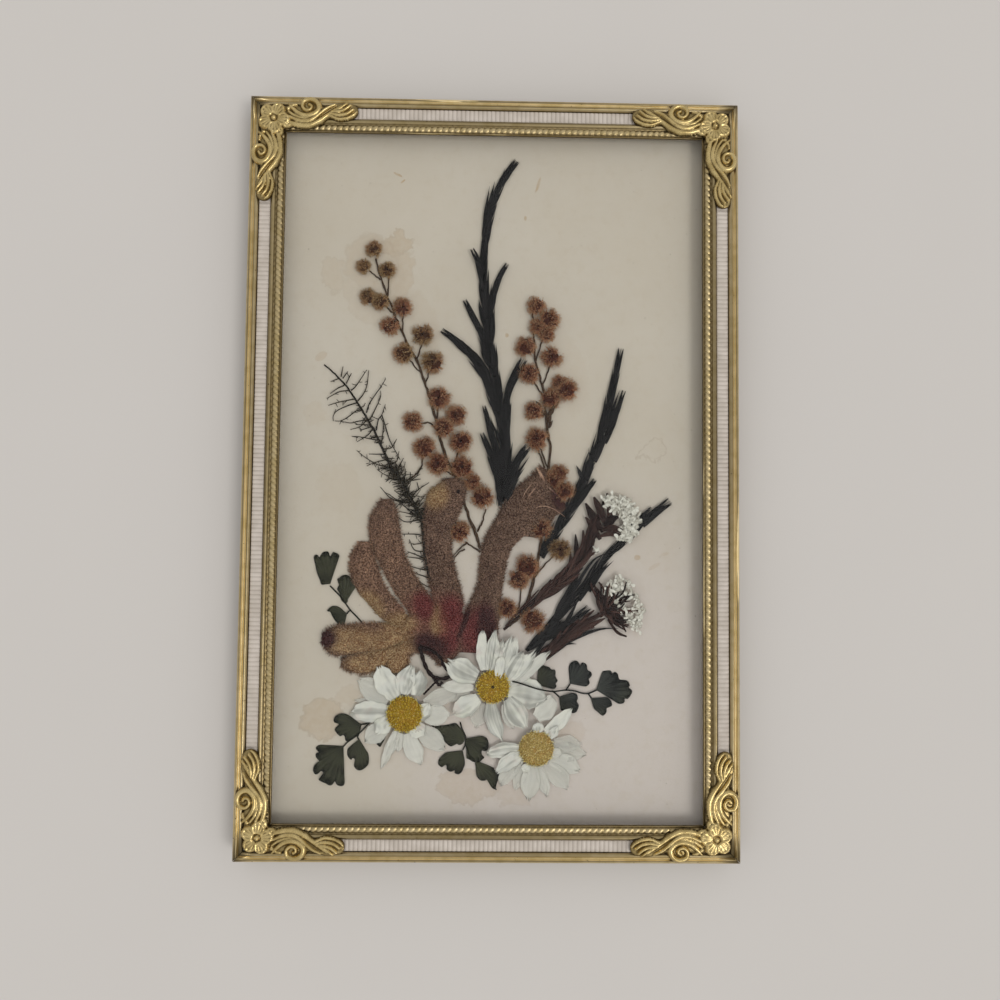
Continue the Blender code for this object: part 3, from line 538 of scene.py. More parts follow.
def ornament(a, b):
    """The relief's height above its edge, and its signed distance to the outline."""
    first, second = np.maximum(a, b), np.minimum(a, b)
    edge = np.full(a.shape, 1e3)
    for points in PLATES:
        edge = np.minimum(edge, swept(first, second, points)[0])
    relief = np.zeros(a.shape)
    for rise, points in RIDGES:
        stroke, share = swept(first, second, [tuple(p) for p in curve(points, 5 * len(points))])
        edge = np.minimum(edge, stroke - 0.1)
        relief = np.maximum(relief, rise * np.sqrt(np.clip(1 - share ** 2, 0, 1)))
    around = np.arctan2(b - FLOWER, a - FLOWER)
    radius = np.hypot(a - FLOWER, b - FLOWER)
    bloom = np.zeros(a.shape)
    for petal in range(5):
        turn = math.radians(225 + 72 * petal)
        off = np.hypot(a - FLOWER - 2.65 * math.cos(turn), b - FLOWER - 2.65 * math.sin(turn))
        edge = np.minimum(edge, off - 2.15)
        ribs = 0.09 * np.cos(7.0 * np.angle(np.exp(1j * (around - turn))) * 3.2) * np.clip(radius / 2, 0, 1)
        rim = 0.28 * np.exp(-((off - 1.6) / 0.33) ** 2)
        dome = 0.45 * np.clip(1 - (off / 2.15) ** 2, 0, 1) ** 0.5
        bloom = np.maximum(bloom, np.where(off < 2.15, 0.35 + dome + rim + ribs, 0))
    bloom *= np.clip((radius - 0.6) / 0.9, 0.25, 1)
    bloom = np.maximum(bloom, 1.25 * np.sqrt(np.clip(1 - (radius / 0.85) ** 2, 0, 1)))
    relief = np.where(bloom > 0, np.maximum(bloom, 0.4 * relief), relief)
    round_edge = np.sqrt(np.clip(1 - (1 + np.clip(edge, -0.7, 0) / 0.7) ** 2, 0, 1))
    return (0.25 + relief) * round_edge, edge


def build_corners(material):
    step = 0.21
    line = np.arange(0.3, 31.6, step)
    a, b = np.meshgrid(line, line, indexing="ij")
    _, edge = ornament(a, b)
    slope_a, slope_b = np.gradient(edge, step)
    near = np.abs(edge) < 0.75 * step
    a = np.where(near, a - edge * slope_a, a)
    b = np.where(near, b - edge * slope_b, b)
    inside = edge < 0.75 * step
    relief, _ = ornament(a, b)
    faces = grid_faces(len(line), len(line))
    faces = faces[inside.ravel()[faces].all(1)]
    used, faces = np.unique(faces, return_inverse=True)
    faces = faces.reshape(-1, 4)
    a, b, relief = a.ravel()[used], b.ravel()[used], relief.ravel()[used]
    pairs = np.concatenate([faces[:, [0, 1]], faces[:, [1, 2]], faces[:, [2, 3]], faces[:, [3, 0]]])
    keys = {tuple(pair) for pair in pairs.tolist()}
    rim = np.array([pair for pair in keys if (pair[1], pair[0]) not in keys])
    for vertical in ("top", "bottom"):
        for horizontal in ("left", "right"):
            sx = 1 if horizontal == "left" else -1
            sy = -1 if vertical == "top" else 1
            x, y = sx * (a - WIDTH / 2), sy * (b - HEIGHT / 2)
            grain = 0.015 * np.sin(3.1 * a + 1.7 * b) * np.sin(2.3 * b)
            top = np.stack([x, y, 10.02 + 0.95 * relief + grain], 1)
            skirt = np.stack([x, y, np.full(len(x), 9.62)], 1)
            turned = faces[:, ::-1] if sx * sy < 0 else faces
            edges = rim[:, ::-1] if sx * sy < 0 else rim
            wall = np.concatenate([edges[:, ::-1], edges + len(x)], 1)
            made = Build()
            made.add(np.concatenate([top, skirt]), np.concatenate([turned, wall, turned[:, ::-1] + len(x)]),
                     np.concatenate([relief, relief]))
            made.piece(f"ornament_{vertical}_{horizontal}", material,
                       [f"corner_{vertical}_{horizontal}"])


def dress(material, *names):
    for name in names:
        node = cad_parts[name]
        node.data.materials.clear()
        node.data.materials.append(material)


# --- specimens: places on the card, drawn as thin sheets, tubes and hairs --------------------
def mean_tone(first, last, share):
    return first + (last - first) * share


def smooth_noise(rng, *fields, waves=5, reach=1.0):
    """A gentle random field over the given coordinate arrays, about -1 to 1."""
    total = 0.0
    for _ in range(waves):
        phase = rng.uniform(0, 2 * np.pi)
        total = total + np.sin(sum(field * rng.normal(0, reach) for field in fields) + phase)
    return total / math.sqrt(waves)


def raised(points, heights):
    """Flat points with heights spread evenly from the first to the last of heights."""
    points = np.asarray(points, float)
    spots = np.linspace(0, 1, len(points))
    return np.column_stack([points, np.interp(spots, np.linspace(0, 1, len(heights)), heights)])


def side_of(path):
    run = np.gradient(path[:, :2], axis=0)
    run /= np.linalg.norm(run, axis=1, keepdims=True) + 1e-9
    return np.column_stack([-run[:, 1], run[:, 0], np.zeros(len(run))])


def strip(made, path, width, shape, rng, rows=12, columns=7, arch=0.0, ridge=0.0, thickness=0.08,
          tone=0.5, teeth=0.0, twist=0.0, crumple=0.0):
    """A leaf or petal: a thin closed sheet along path, shape giving its share of width."""
    spine = curve(path, rows)
    along = np.linspace(0, 1, rows)[:, None]
    across = np.linspace(-1, 1, columns)[None]
    half = 0.5 * width * np.interp(along, np.linspace(0, 1, len(shape)), shape)
    side = side_of(spine)
    run = np.gradient(spine, axis=0)
    notch = 0.5 + 0.5 * np.cos(np.pi * (across * rng.uniform(1.6, 3.2) + rng.uniform(-0.6, 0.6)))
    if crumple:
        notch = 0.55 * notch + 0.6 * rng.random(columns)
        half = half * (1 + 0.07 * smooth_noise(rng, along * 14))
    notch = teeth * notch * along ** 5 * (rows - 1)
    bow = rng.uniform(-0.5, 0.5)
    folds = ridge * np.cos(np.pi * (across * rng.uniform(3.5, 5.5) + bow * along))
    waves = 0.6 * ridge * smooth_noise(rng, along * 7, across * 2.5 + 0 * along)
    waves = waves + crumple * smooth_noise(rng, along * 9, across * 3.5 + 0 * along, waves=7)
    lift = arch * (1 - across ** 2) + folds + waves + twist * across * half
    points = (spine[:, None] + side[:, None] * (across * half)[..., None]
              - run[:, None] * notch[..., None])
    points[..., 2] += lift
    # The tone is painted shade along the folds and crumples: lower in their hollows, higher on their ridges, with a
    # little random variation.
    shade = tone + 0.9 * folds + 0.06 * smooth_noise(rng, along * 3, across * 6 + 0 * along)
    shade = shade + (0.5 * (waves + rng.normal(0, 0.03)) if crumple else 0.0)
    return made.slab(points, thickness, shade)


def dome_grid(left, right, low, thick, rows, columns, rng, lumps=0.12):
    """The top of a flattened cushion between two edges, and its height above low."""
    left, right = curve(left, rows), curve(right, rows)
    across = np.linspace(0, 1, columns)[None, :, None]
    flat = left[:, None] * (1 - across) + right[:, None] * across
    off = 2 * across[..., 0] - 1
    along = np.linspace(0, 1, rows)[:, None]
    tip = np.sqrt(np.clip(1 - np.clip(1 - along / 0.07, 0, 1) ** 2, 0, 1))
    lump = smooth_noise(rng, flat[..., 0] * 0.35, flat[..., 1] * 0.35)
    crease = smooth_noise(rng, off * 4.0 + 0 * along, along * 2.0)
    height = (1 - off ** 2) ** 0.5 * (0.25 + 0.75 * tip) * (1 - 0.42 * along ** 2) * (1 + lumps * lump + 0.08 * crease) * thick
    points = np.concatenate([flat, (low + 0.1 + height)[..., None]], -1)
    return points, 0.1 + height


def sample(grid, rows, columns):
    """Points of a grid at fractional rows and columns."""
    row, column = rows.astype(int), columns.astype(int)
    a, b = (rows - row)[:, None], (columns - column)[:, None]
    return ((1 - a) * (1 - b) * grid[row, column] + a * (1 - b) * grid[row + 1, column]
            + (1 - a) * b * grid[row, column + 1] + a * b * grid[row + 1, column + 1])


def hairs(made, grid, rng, density, length, edge_length, width, lean=0.6):
    """Short hairs on a cushion's top, longer and paler ones out from its two edges."""
    rows, columns = grid.shape[:2]
    flat = grid[..., :2]
    cross = np.linalg.norm(flat[:, -1] - flat[:, 0], axis=1)
    step = np.linalg.norm(np.diff(flat.mean(1), axis=0), axis=1)
    area = 0.5 * (cross[1:] + cross[:-1]) * step
    count = int(density * area.sum())
    row = rng.choice(rows - 1, count, p=area / area.sum()) + rng.uniform(0, 0.999, count)
    column = rng.uniform(0, columns - 1.001, count)
    edges = int(3.2 * density * step.sum() * 0.5)
    row = np.concatenate([row, rng.uniform(0, rows - 1.001, edges)])
    rim = rng.uniform(0, 0.06, edges) ** 1.0 * (columns - 1)
    column = np.concatenate([column, np.where(rng.random(edges) < 0.5, rim, columns - 1.001 - rim)])
    base = sample(grid, row, column)
    off = 2 * column / (columns - 1) - 1
    index = row.astype(int)
    outward = flat[index, -1] - flat[index, 0]
    outward /= np.linalg.norm(outward, axis=1, keepdims=True) + 1e-9
    toward = flat.mean(1)[index] - flat.mean(1)[np.minimum(index + 1, rows - 1)]
    toward /= np.linalg.norm(toward, axis=1, keepdims=True) + 1e-9
    outer = np.arange(len(row)) >= count
    aim = np.zeros((len(row), 3))
    aim[:, :2] = (outward * (off * np.where(outer, 1.5, 0.8))[:, None] + toward * lean
                  + rng.normal(0, 0.45, (len(row), 2)))
    aim[:, 2] = np.where(outer, rng.normal(0.1, 0.15, len(row)), rng.uniform(0.15, 0.8, len(row)))
    aim /= np.linalg.norm(aim, axis=1, keepdims=True)
    reach = np.where(outer, rng.uniform(0.3, 1.0, len(row)) * edge_length,
                     rng.uniform(0.5, 1.0, len(row)) * length)
    tip = base + aim * reach[:, None]
    tip[:, 2] = np.clip(tip[:, 2], CARD_TOP + 0.05, GLASS_BOTTOM - 0.1)
    shade = np.clip(rng.random(len(row)) ** 1.4 + np.where(outer, 0.25, 0.0), 0, 1)
    made.spikes(base, tip, width, (0.3 * shade, shade))


# A finger: lowest height, thickness, left edge and right edge from its tip down.
PAW = {
    "paw_finger_1": (4.5, 1.6,
        [(-31.5, -7.5), (-33.5, -10.5), (-34.7, -12.7), (-35, -15), (-35, -17.5), (-34.5, -20),
         (-33, -23.5), (-31.5, -26.5), (-30, -29.5), (-28.3, -32.5), (-26, -36), (-23.5, -39.5),
         (-22, -43), (-20, -47)],
        [(-29, -7.3), (-27.8, -9.5), (-27, -12), (-26.5, -15), (-26, -18), (-25.5, -21),
         (-24.4, -24.5), (-22.5, -28), (-20.5, -31), (-18, -34.5), (-15.7, -38), (-14, -41),
         (-13, -44.5), (-12, -48)]),
    "paw_finger_2": (4.25, 1.5,
        [(-37.5, -19.7), (-38.8, -21.5), (-40, -23.5), (-40.4, -26), (-40.4, -28), (-39.5, -31),
         (-38, -34), (-36.3, -36), (-34, -38.5), (-31.8, -41), (-28.8, -43), (-26, -44.5)],
        [(-35.2, -19.7), (-34, -22), (-33, -25.5), (-32, -28.5), (-31, -31.5), (-29, -34.5),
         (-26.5, -37.5), (-24.5, -40), (-22.5, -43), (-20.5, -46), (-19, -48), (-17, -50)]),
    "paw_finger_3": (4.45, 1.75,
        [(-13, -1.2), (-16, -3.5), (-18.3, -5.5), (-19.1, -8.5), (-19.5, -13.5), (-19.4, -19.5),
         (-18.7, -25), (-17.6, -31), (-16.3, -36.5), (-15, -42), (-14.5, -47), (-13.5, -51.5)],
        [(-10.3, -1), (-8, -2.7), (-7.4, -4.7), (-8, -8), (-9.5, -12), (-10.8, -16.5),
         (-11.5, -20.5), (-11.1, -24), (-10.1, -28), (-9, -32), (-7.8, -36.5), (-8.6, -40.5),
         (-10.6, -45), (-12.2, -50)]),
    "paw_finger_4": (4.35, 1.9,
        [(14.4, 2.5), (12.4, 0.6), (10, -1.5), (7.6, -3.5), (5.2, -6), (3.6, -8.5), (2.4, -10.7),
         (1, -13.6), (-1, -17), (-2.2, -20.5), (-3, -24.5), (-3.5, -31), (-4.8, -35), (-6.8, -39),
         (-8.6, -43), (-10.2, -47), (-10.6, -51)],
        [(16, 1.6), (16.8, -2), (19.8, -5.5), (21.6, -9.5), (18.8, -11.6), (16.2, -15),
         (13.6, -18), (9.8, -17.6), (7, -20), (5, -23.5), (4, -28), (3.3, -32.5), (2.8, -38),
         (2.2, -44.5), (1.2, -51.5)]),
    "paw_finger_5": (4.5, 1.7,
        [(-48, -48), (-46.5, -50.8), (-44, -52.3), (-40.5, -52.1), (-37, -51.6), (-33, -51),
         (-29, -50), (-26.5, -48.8), (-23.5, -48.2), (-20, -48.5)],
        [(-48, -46.6), (-46.3, -45), (-44, -44.1), (-41.3, -43.6), (-37.3, -43.4), (-33, -43.1),
         (-30, -43), (-27, -43.4), (-23.5, -44.2), (-20, -45)]),
    "paw_finger_6": (4.2, 1.5,
        [(-42.5, -55.2), (-40.6, -56.6), (-37.7, -57.3), (-34.6, -57.2), (-31.5, -56.2),
         (-28.5, -54.6), (-25.7, -52.8), (-23, -51.5), (-20, -50.5)],
        [(-42.4, -53.7), (-40.9, -52.5), (-38.3, -51.5), (-35.4, -51), (-32, -50.4), (-28.5, -49.6),
         (-25.6, -48.7), (-23, -48), (-20, -47.5)]),
    "paw_finger_7": (4.2, 1.4,
        [(-29.4, -57), (-29.7, -55), (-29.1, -52.5), (-27.7, -50.3), (-25.7, -48.5), (-23.5, -47.5)],
        [(-24.3, -57.6), (-23.4, -55), (-22.9, -52.6), (-22, -51.1), (-20.6, -50), (-19, -49)]),
    "paw_stalk": (4.4, 1.7,
        [(-26, -45.5), (-25.5, -48), (-24, -50), (-21.5, -51.3), (-18, -51.8), (-15.8, -53.4),
         (-14, -55.2)],
        [(-23.5, -41), (-19.5, -38.6), (-14, -38.4), (-9, -39.5), (-6, -43.5), (-6.2, -48),
         (-10.5, -53)]),
}
# Dark twisted pedicels under the paw: (points, heights, half width).
PEDICELS = [
    ([(-20, -49.5), (-19.2, -52.5), (-18.3, -55), (-17, -57.2), (-15.3, -58.4), (-13, -58.6),
      (-10.7, -57.7), (-9, -57.1), (-7.8, -58.8)], (5.6, 5.4, 5.2, 5.5), 0.55),
    ([(-20, -49.5), (-16.5, -50.6), (-14, -52.6), (-13, -55), (-10.6, -57.2), (-8.2, -58.4)],
     (5.8, 6.0, 5.6, 5.3), 0.45),
    ([(-14, -58.4), (-16, -60.2), (-18.7, -63)], (5.3, 5.8, 6.0), 0.3),
    ([(-16.8, -57), (-15.6, -58.8), (-14.2, -60.4), (-13.4, -59.4)], (5.3, 5.6, 5.9), 0.45),
]
# Slits and pale lips at the open end of the fourth finger: (points, half width, tone); the low-tone slits are dark
# tubes painting the shade in the gaps between the lips.
LIPS = [
    ([(9.5, -7.4), (10.7, -5), (12.6, -2.6)], 0.24, 0.05), ([(11.4, -6.6), (12.6, -5), (14.2, -3.3)], 0.26, 0.05),
    ([(13, -6.2), (14.1, -4.9), (15.2, -3.4)], 0.22, 0.08), ([(8.9, -6.9), (10.1, -4.5), (12.0, -2.2)], 0.2, 0.6),
    ([(10.5, -6.9), (11.7, -4.9), (13.4, -2.9)], 0.22, 0.65), ([(12.3, -6.2), (13.4, -4.9), (14.9, -3.1)], 0.2, 0.6),
    ([(13, 2.2), (14.4, -0.4), (15.4, -2.2)], 0.5, 0.6), ([(14.2, -8.5), (17.0, -9.3), (20.4, -10.4)], 0.2, 0.1),
    ([(12.2, -10.6), (15.2, -11.6), (17.6, -13.2)], 0.2, 0.1), ([(13, -7), (16.4, -7.2), (19.6, -7.4)], 0.2, 0.12),
    ([(9, -9.6), (11.6, -12.4), (13.2, -16)], 0.2, 0.15), ([(10.6, -10.5), (12.6, -9.5), (15, -9), (17.6, -9.6), (21.2, -12)], 0.18, 0.62),
    ([(15.2, -2.6), (17.6, -4.6), (20, -7)], 0.18, 0.5),
]


def build_paw(material):
    for number, (name, (low, thick, left, right)) in enumerate(PAW.items()):
        rng = np.random.default_rng(100 + number)
        length = np.linalg.norm(np.diff(left, axis=0), axis=1).sum()
        rows = max(18, int(length / 0.55))
        grid, height = dome_grid(left, right, low, thick, rows, 17, rng)
        made = Build()
        made.slab(grid, height, 0.2 + 0.08 * smooth_noise(rng, grid[..., 0], grid[..., 1]))
        hairs(made, grid, rng, 15.0, 0.7, 1.6, 0.1)
        if name == "paw_finger_4":
            for points, half, tone in LIPS:
                path = raised(curve(points, 9), (6.35, 6.55, 6.35))
                made.tube(path, half * np.sin(np.linspace(0.35, 2.9, 9)), 0.2, 6, tone)
        if name == "paw_stalk":
            for points, heights, half in PEDICELS:
                path = raised(curve(points, 26), heights)
                wobble = half * (1 + 0.25 * np.sin(np.arange(26) * 1.9))
                made.tube(path, wobble, wobble * 0.8, 8, -0.5)
        if name == "paw_finger_3":
            made.tube(raised([(-9.4, -4.6), (-9.6, -5.6)], (6.2, 6.25)), 0.45, 0.3, 8, -0.3)
        made.piece(name.replace("paw", "fuzzy_paw"), material, [name])


def paw_look():
    look = Look("paw_look", Roughness=0.9)
    look.set(Specular_IOR_Level=0.15)
    speckle = look.span(look.noise(2.4, 2.0, 0.6), 0.3, 0.7, -0.3, 0.3)
    tone = look.sum(look.span(look.tone(), 0.0, 1.0, 0.1, 1.0), speckle, clamp=True)
    brown = look.mix(tone, linear(62, 40, 33), linear(214, 174, 148))
    brown = look.mix(look.sum(look.zone(-32.0, -34.0, 17.0, 34.0, 15), 0.8, "MULTIPLY"), brown,
                     look.mix(tone, linear(84, 56, 46), linear(250, 200, 164)))
    brown = look.mix(look.sum(look.zone(-18.0, -42.0, 12.0, 11.0, 0), 0.8, "MULTIPLY"), brown,
                     look.mix(tone, linear(92, 50, 42), linear(236, 168, 144)))
    gold = look.mix(tone, linear(132, 90, 58), linear(255, 226, 176))
    red = look.mix(tone, linear(78, 20, 28), linear(196, 92, 96))
    dusk = look.mix(tone, linear(44, 20, 22), linear(134, 88, 84))
    blotch = look.span(look.noise(0.22, 3.0, 0.6), 0.3, 0.7)

    def patch(*zones):
        total = None
        for zone in zones:
            shape = look.zone(*zone)
            total = shape if total is None else look.sum(total, shape, "MAXIMUM")
        return total
    colour = look.mix(patch((-29, -49, 12, 6.5, 10), (-39, -48, 11, 5.5, 0), (-34, -54, 10, 4.5, 5), (-26.5, -54, 5, 6, 0),
                            (-34, -38, 4.5, 7, 40), (-26, -43, 7, 4.5, 0), (-14.5, -43, 3.5, 7, 10),
                            (-16, -6, 5, 6, 0)), brown, gold)
    flush = patch((-19, -38, 4, 6, 25), (-11, -41, 5.5, 9, 0), (-4, -45, 6.5, 10, -15), (-12, -48, 5, 6, 0))
    colour = look.mix(look.sum(flush, 0.8, "MULTIPLY"), colour, red)
    colour = look.mix(patch((-17, -49, 8, 4.5, -20), (-1, -43, 4, 9, 0), (-47, -47.5, 5, 4, 0),
                            (-7.5, -43, 1.2, 7, -20), (20, -6, 4, 6, 0)), colour, dusk)
    colour = look.mix(look.sum(blotch, 0.16, "MULTIPLY"), colour, dusk)
    black = look.span(look.tone(), -0.35, 0.0, 1.0, 0.0)
    look.set(Base_Color=look.mix(black, colour, linear(34, 22, 22)))
    return look.material


# --- wattle -----------------------------------------------------------------------------------
# A stem: (points, half width at its ends).  A head: (x, y, radius).
WATTLE = {
    "wattle_left": ([
        ([(-34.5, 63), (-33.5, 59), (-31, 52), (-28.5, 46), (-25, 38), (-22, 33), (-20, 27.5),
          (-17, 18.5), (-15, 10.5), (-12, 2), (-7.5, -4.5)], 0.28, 0.5),
        ([(-7.5, -4), (-8, -7.5), (-7, -10.5), (-6, -13.5), (-4.5, -16.5), (-3, -21.5)], 0.38, 0.5),
        ([(-1.5, -10), (-2.5, -13.5), (-4, -16.5)], 0.2, 0.3),
        ([(-7.5, -19.5), (-3, -22.3)], 0.2, 0.3), ([(-7, -20), (-9, -21.6), (-11, -24)], 0.25, 0.1),
        ([(-7.5, -21.6), (-9.6, -23), (-11, -25.5)], 0.25, 0.1),
        ([(-36.5, 59.5), (-33.2, 56.8)], 0.2, 0.25), ([(-30.5, 57.5), (-31, 51.6)], 0.2, 0.25),
        ([(-35, 51), (-32, 49.5), (-28.6, 46.2)], 0.2, 0.25), ([(-26.5, 47), (-26.3, 41)], 0.2, 0.25),
        ([(-20.5, 38.5), (-22.2, 33.5)], 0.2, 0.25), ([(-25, 34), (-20.9, 29.5)], 0.2, 0.25),
        ([(-18, 31), (-19.6, 26.2)], 0.2, 0.25), ([(-21, 14.6), (-18, 14.8), (-15.6, 12.4)], 0.2, 0.25),
        ([(-15.5, 21), (-16, 15)], 0.2, 0.25), ([(-9.5, 8), (-11.4, 0.8)], 0.2, 0.25),
        ([(-15, 2), (-10, -1)], 0.2, 0.25),
        ([(-19.6, 5.6), (-20.5, 2), (-21.8, 0), (-23.8, -1.6)], 0.25, 0.2),
    ], [
        (-35, 65.5, 2.3), (-38, 60.5, 2.0), (-31, 59.5, 2.2), (-36.5, 51.5, 2.3),
        (-33, 50, 2.3), (-26.5, 48.5, 2.7), (-30, 43, 2.7), (-20.5, 40.5, 3.0),
        (-26, 35, 2.9), (-17.5, 32.5, 3.2), (-15.5, 22, 3.2), (-10.5, 17, 2.9),
        (-14, 13.5, 2.9), (-23, 15, 2.9), (-9, 9.5, 3.2), (-19.5, 7.5, 3.2),
        (-15.5, 3, 3.2), (-8.5, 2, 3.2), (-5.5, -2.3, 2.4), (-2.6, -6.6, 3.2),
        (-9, -16.6, 2.9),
    ]),
    "wattle_right": ([
        ([(11.5, 48), (12, 39.5), (12.5, 33.5), (14, 28), (15, 24), (15.5, 19), (16, 13),
          (17, 8.5), (16.5, 1.5), (16, -7.5), (14.5, -19), (12.5, -30.5), (9.5, -39.5),
          (5.5, -43.5)], 0.28, 0.5),
        ([(17, 33), (14.6, 26)], 0.2, 0.25), ([(11.6, 28), (14.8, 22.8)], 0.2, 0.25),
        ([(15.5, 43), (12.6, 33.6)], 0.2, 0.25), ([(14, 8), (16.6, 1.6)], 0.2, 0.25),
        ([(13.3, 8), (15.4, 2.2)], 0.2, 0.25), ([(9, -28), (8.6, -36), (7, -42)], 0.2, 0.25),
        ([(20, -21), (12.8, -29.4)], 0.2, 0.25),
    ], [
        (12.5, 49.5, 2.6), (16.5, 45.5, 3.0), (15.5, 41.5, 2.6), (13, 43.5, 2.4), (9.5, 37.5, 2.9),
        (17, 34.5, 3.0), (10.5, 29.5, 2.9), (21.5, 25, 3.2), (17, 22.5, 2.9), (19.5, 27, 2.2),
        (12, 18.5, 2.7), (13, 10.5, 3.2), (17.5, -1.5, 3.0), (21, -4.5, 2.9), (19.5, 0.5, 2.6),
        (14.5, -15.5, 3.0), (20, -21.5, 3.0), (10.5, -26.5, 3.4), (8.2, -30, 2.9),
        (5, -38.5, 2.7), (12.3, -42, 3.4),
    ]),
}
BUDS = [(15.5, 21.2, 1.2, -0.9), (17.2, 18.8, 1.4, 1.0), (14.6, 17.8, 1.0, -0.6), (16.4, 16.6, 1.6, 0.4),
        (18.4, 20.4, 0.9, 1.2), (13.8, 20.2, 0.9, -1.2), (16.8, 14.6, 0.9, 0.8)]


def fuzzy_head(made, x, y, radius, height, rng):
    """A round head of many tufts of filaments about a dark middle."""
    middle = np.array([x, y, height])
    flat = np.array([1.0, 1.0, 0.42])
    turn = np.linspace(0, 2 * np.pi, 15)[:-1]
    tilt = np.linspace(0.12, np.pi - 0.12, 8)[:, None]
    ball = np.stack([np.sin(tilt) * np.cos(turn), np.sin(tilt) * np.sin(turn),
                     np.cos(tilt) + 0 * turn], -1)
    lump = 1 + 0.08 * smooth_noise(rng, *(ball[..., axis] * 5 for axis in range(3)))
    made.grid(middle + ball * flat * (0.74 * radius * lump)[..., None], 0.0, close_columns=True, caps=True)
    tufts = rng.normal(0, 1, (66, 3))
    tufts[:, 2] = np.abs(tufts[:, 2]) * 0.9 - 0.15
    tufts /= np.linalg.norm(tufts, axis=1, keepdims=True)
    own = np.repeat(tufts, 10, 0)
    aim = own + rng.normal(0, 0.17, own.shape)
    aim /= np.linalg.norm(aim, axis=1, keepdims=True)
    reach = radius * rng.uniform(0.85, 1.2, len(own))[:, None]
    base = middle + own * flat * 0.62 * radius
    tip = middle + aim * flat * reach
    low = np.linalg.norm(aim[:, :2], axis=1)
    shade = np.clip(0.1 + 0.6 * low + rng.normal(0, 0.22, len(own)), 0, 1)
    made.spikes(base, tip, 0.1, (shade * 0.5, shade + 0.1))
    dots = tip[rng.random(len(tip)) < 0.45]
    up = rng.normal(0, 0.09, dots.shape)
    made.spikes(dots - up, dots + up, 0.11, np.clip(rng.normal(0.75, 0.15, len(dots)), 0, 1))


def build_wattle(material):
    for number, (name, (stems, heads)) in enumerate(WATTLE.items()):
        rng = np.random.default_rng(200 + number)
        made = Build()
        for points, first, last in stems:
            count = max(6, int(2.2 * np.linalg.norm(np.diff(points, axis=0), axis=1).sum() ** 0.8))
            path = raised(curve(points, count), (4.75, 4.55))
            path[:, :2] += 0.08 * rng.normal(0, 1, (count, 2))
            thick = np.linspace(first, last, count) * (1 + 0.12 * rng.normal(0, 1, count))
            made.tube(path, thick, thick * 0.7, 7, -0.35)
        for x, y, radius in heads:
            fuzzy_head(made, x, y, 1.07 * radius, 5.15 + rng.uniform(-0.15, 0.2), rng)
        if name == "wattle_right":
            for x, y, size, lean in BUDS:
                tip = (x + lean, y + 1.6 * size)
                strip(made, raised([(x - 0.3 * lean, y - size), (x, y), tip], (4.8, 5.2, 5.0)), 1.1 * size,
                      [0.3, 1, 0.9, 0.6, 0.05], rng, arch=0.35, ridge=0.03, tone=-0.5)
        made.piece(name.replace("wattle", "wattle_spray"), material, [name])


def wattle_look():
    look = Look("wattle_look", Roughness=0.85, Specular_IOR_Level=0.15)
    warm = look.ramp(look.span(look.tone(), -0.1, 1.0), (0.0, linear(58, 26, 18)),
                     (0.35, linear(132, 76, 56)), (0.7, linear(192, 134, 100)), (1.0, linear(220, 184, 142)))
    olive = look.ramp(look.span(look.tone(), -0.1, 1.0), (0.0, linear(54, 32, 18)),
                      (0.35, linear(114, 80, 48)), (0.7, linear(170, 134, 90)), (1.0, linear(210, 180, 132)))
    greenish = look.sum(look.sum(look.zone(20, -21.5, 6, 5), look.zone(-34, 57, 9, 15)), look.zone(-21, 36, 9, 10))
    colour = look.mix(look.sum(greenish, 0.85, "MULTIPLY", clamp=True), warm, olive)
    bark = look.mix(look.span(look.noise(2.0, 3.0), 0.3, 0.7), linear(48, 34, 26), linear(86, 66, 50))
    look.set(Base_Color=look.mix(look.span(look.tone(), -0.3, -0.2, 1.0, 0.0), colour, bark))
    return look.material


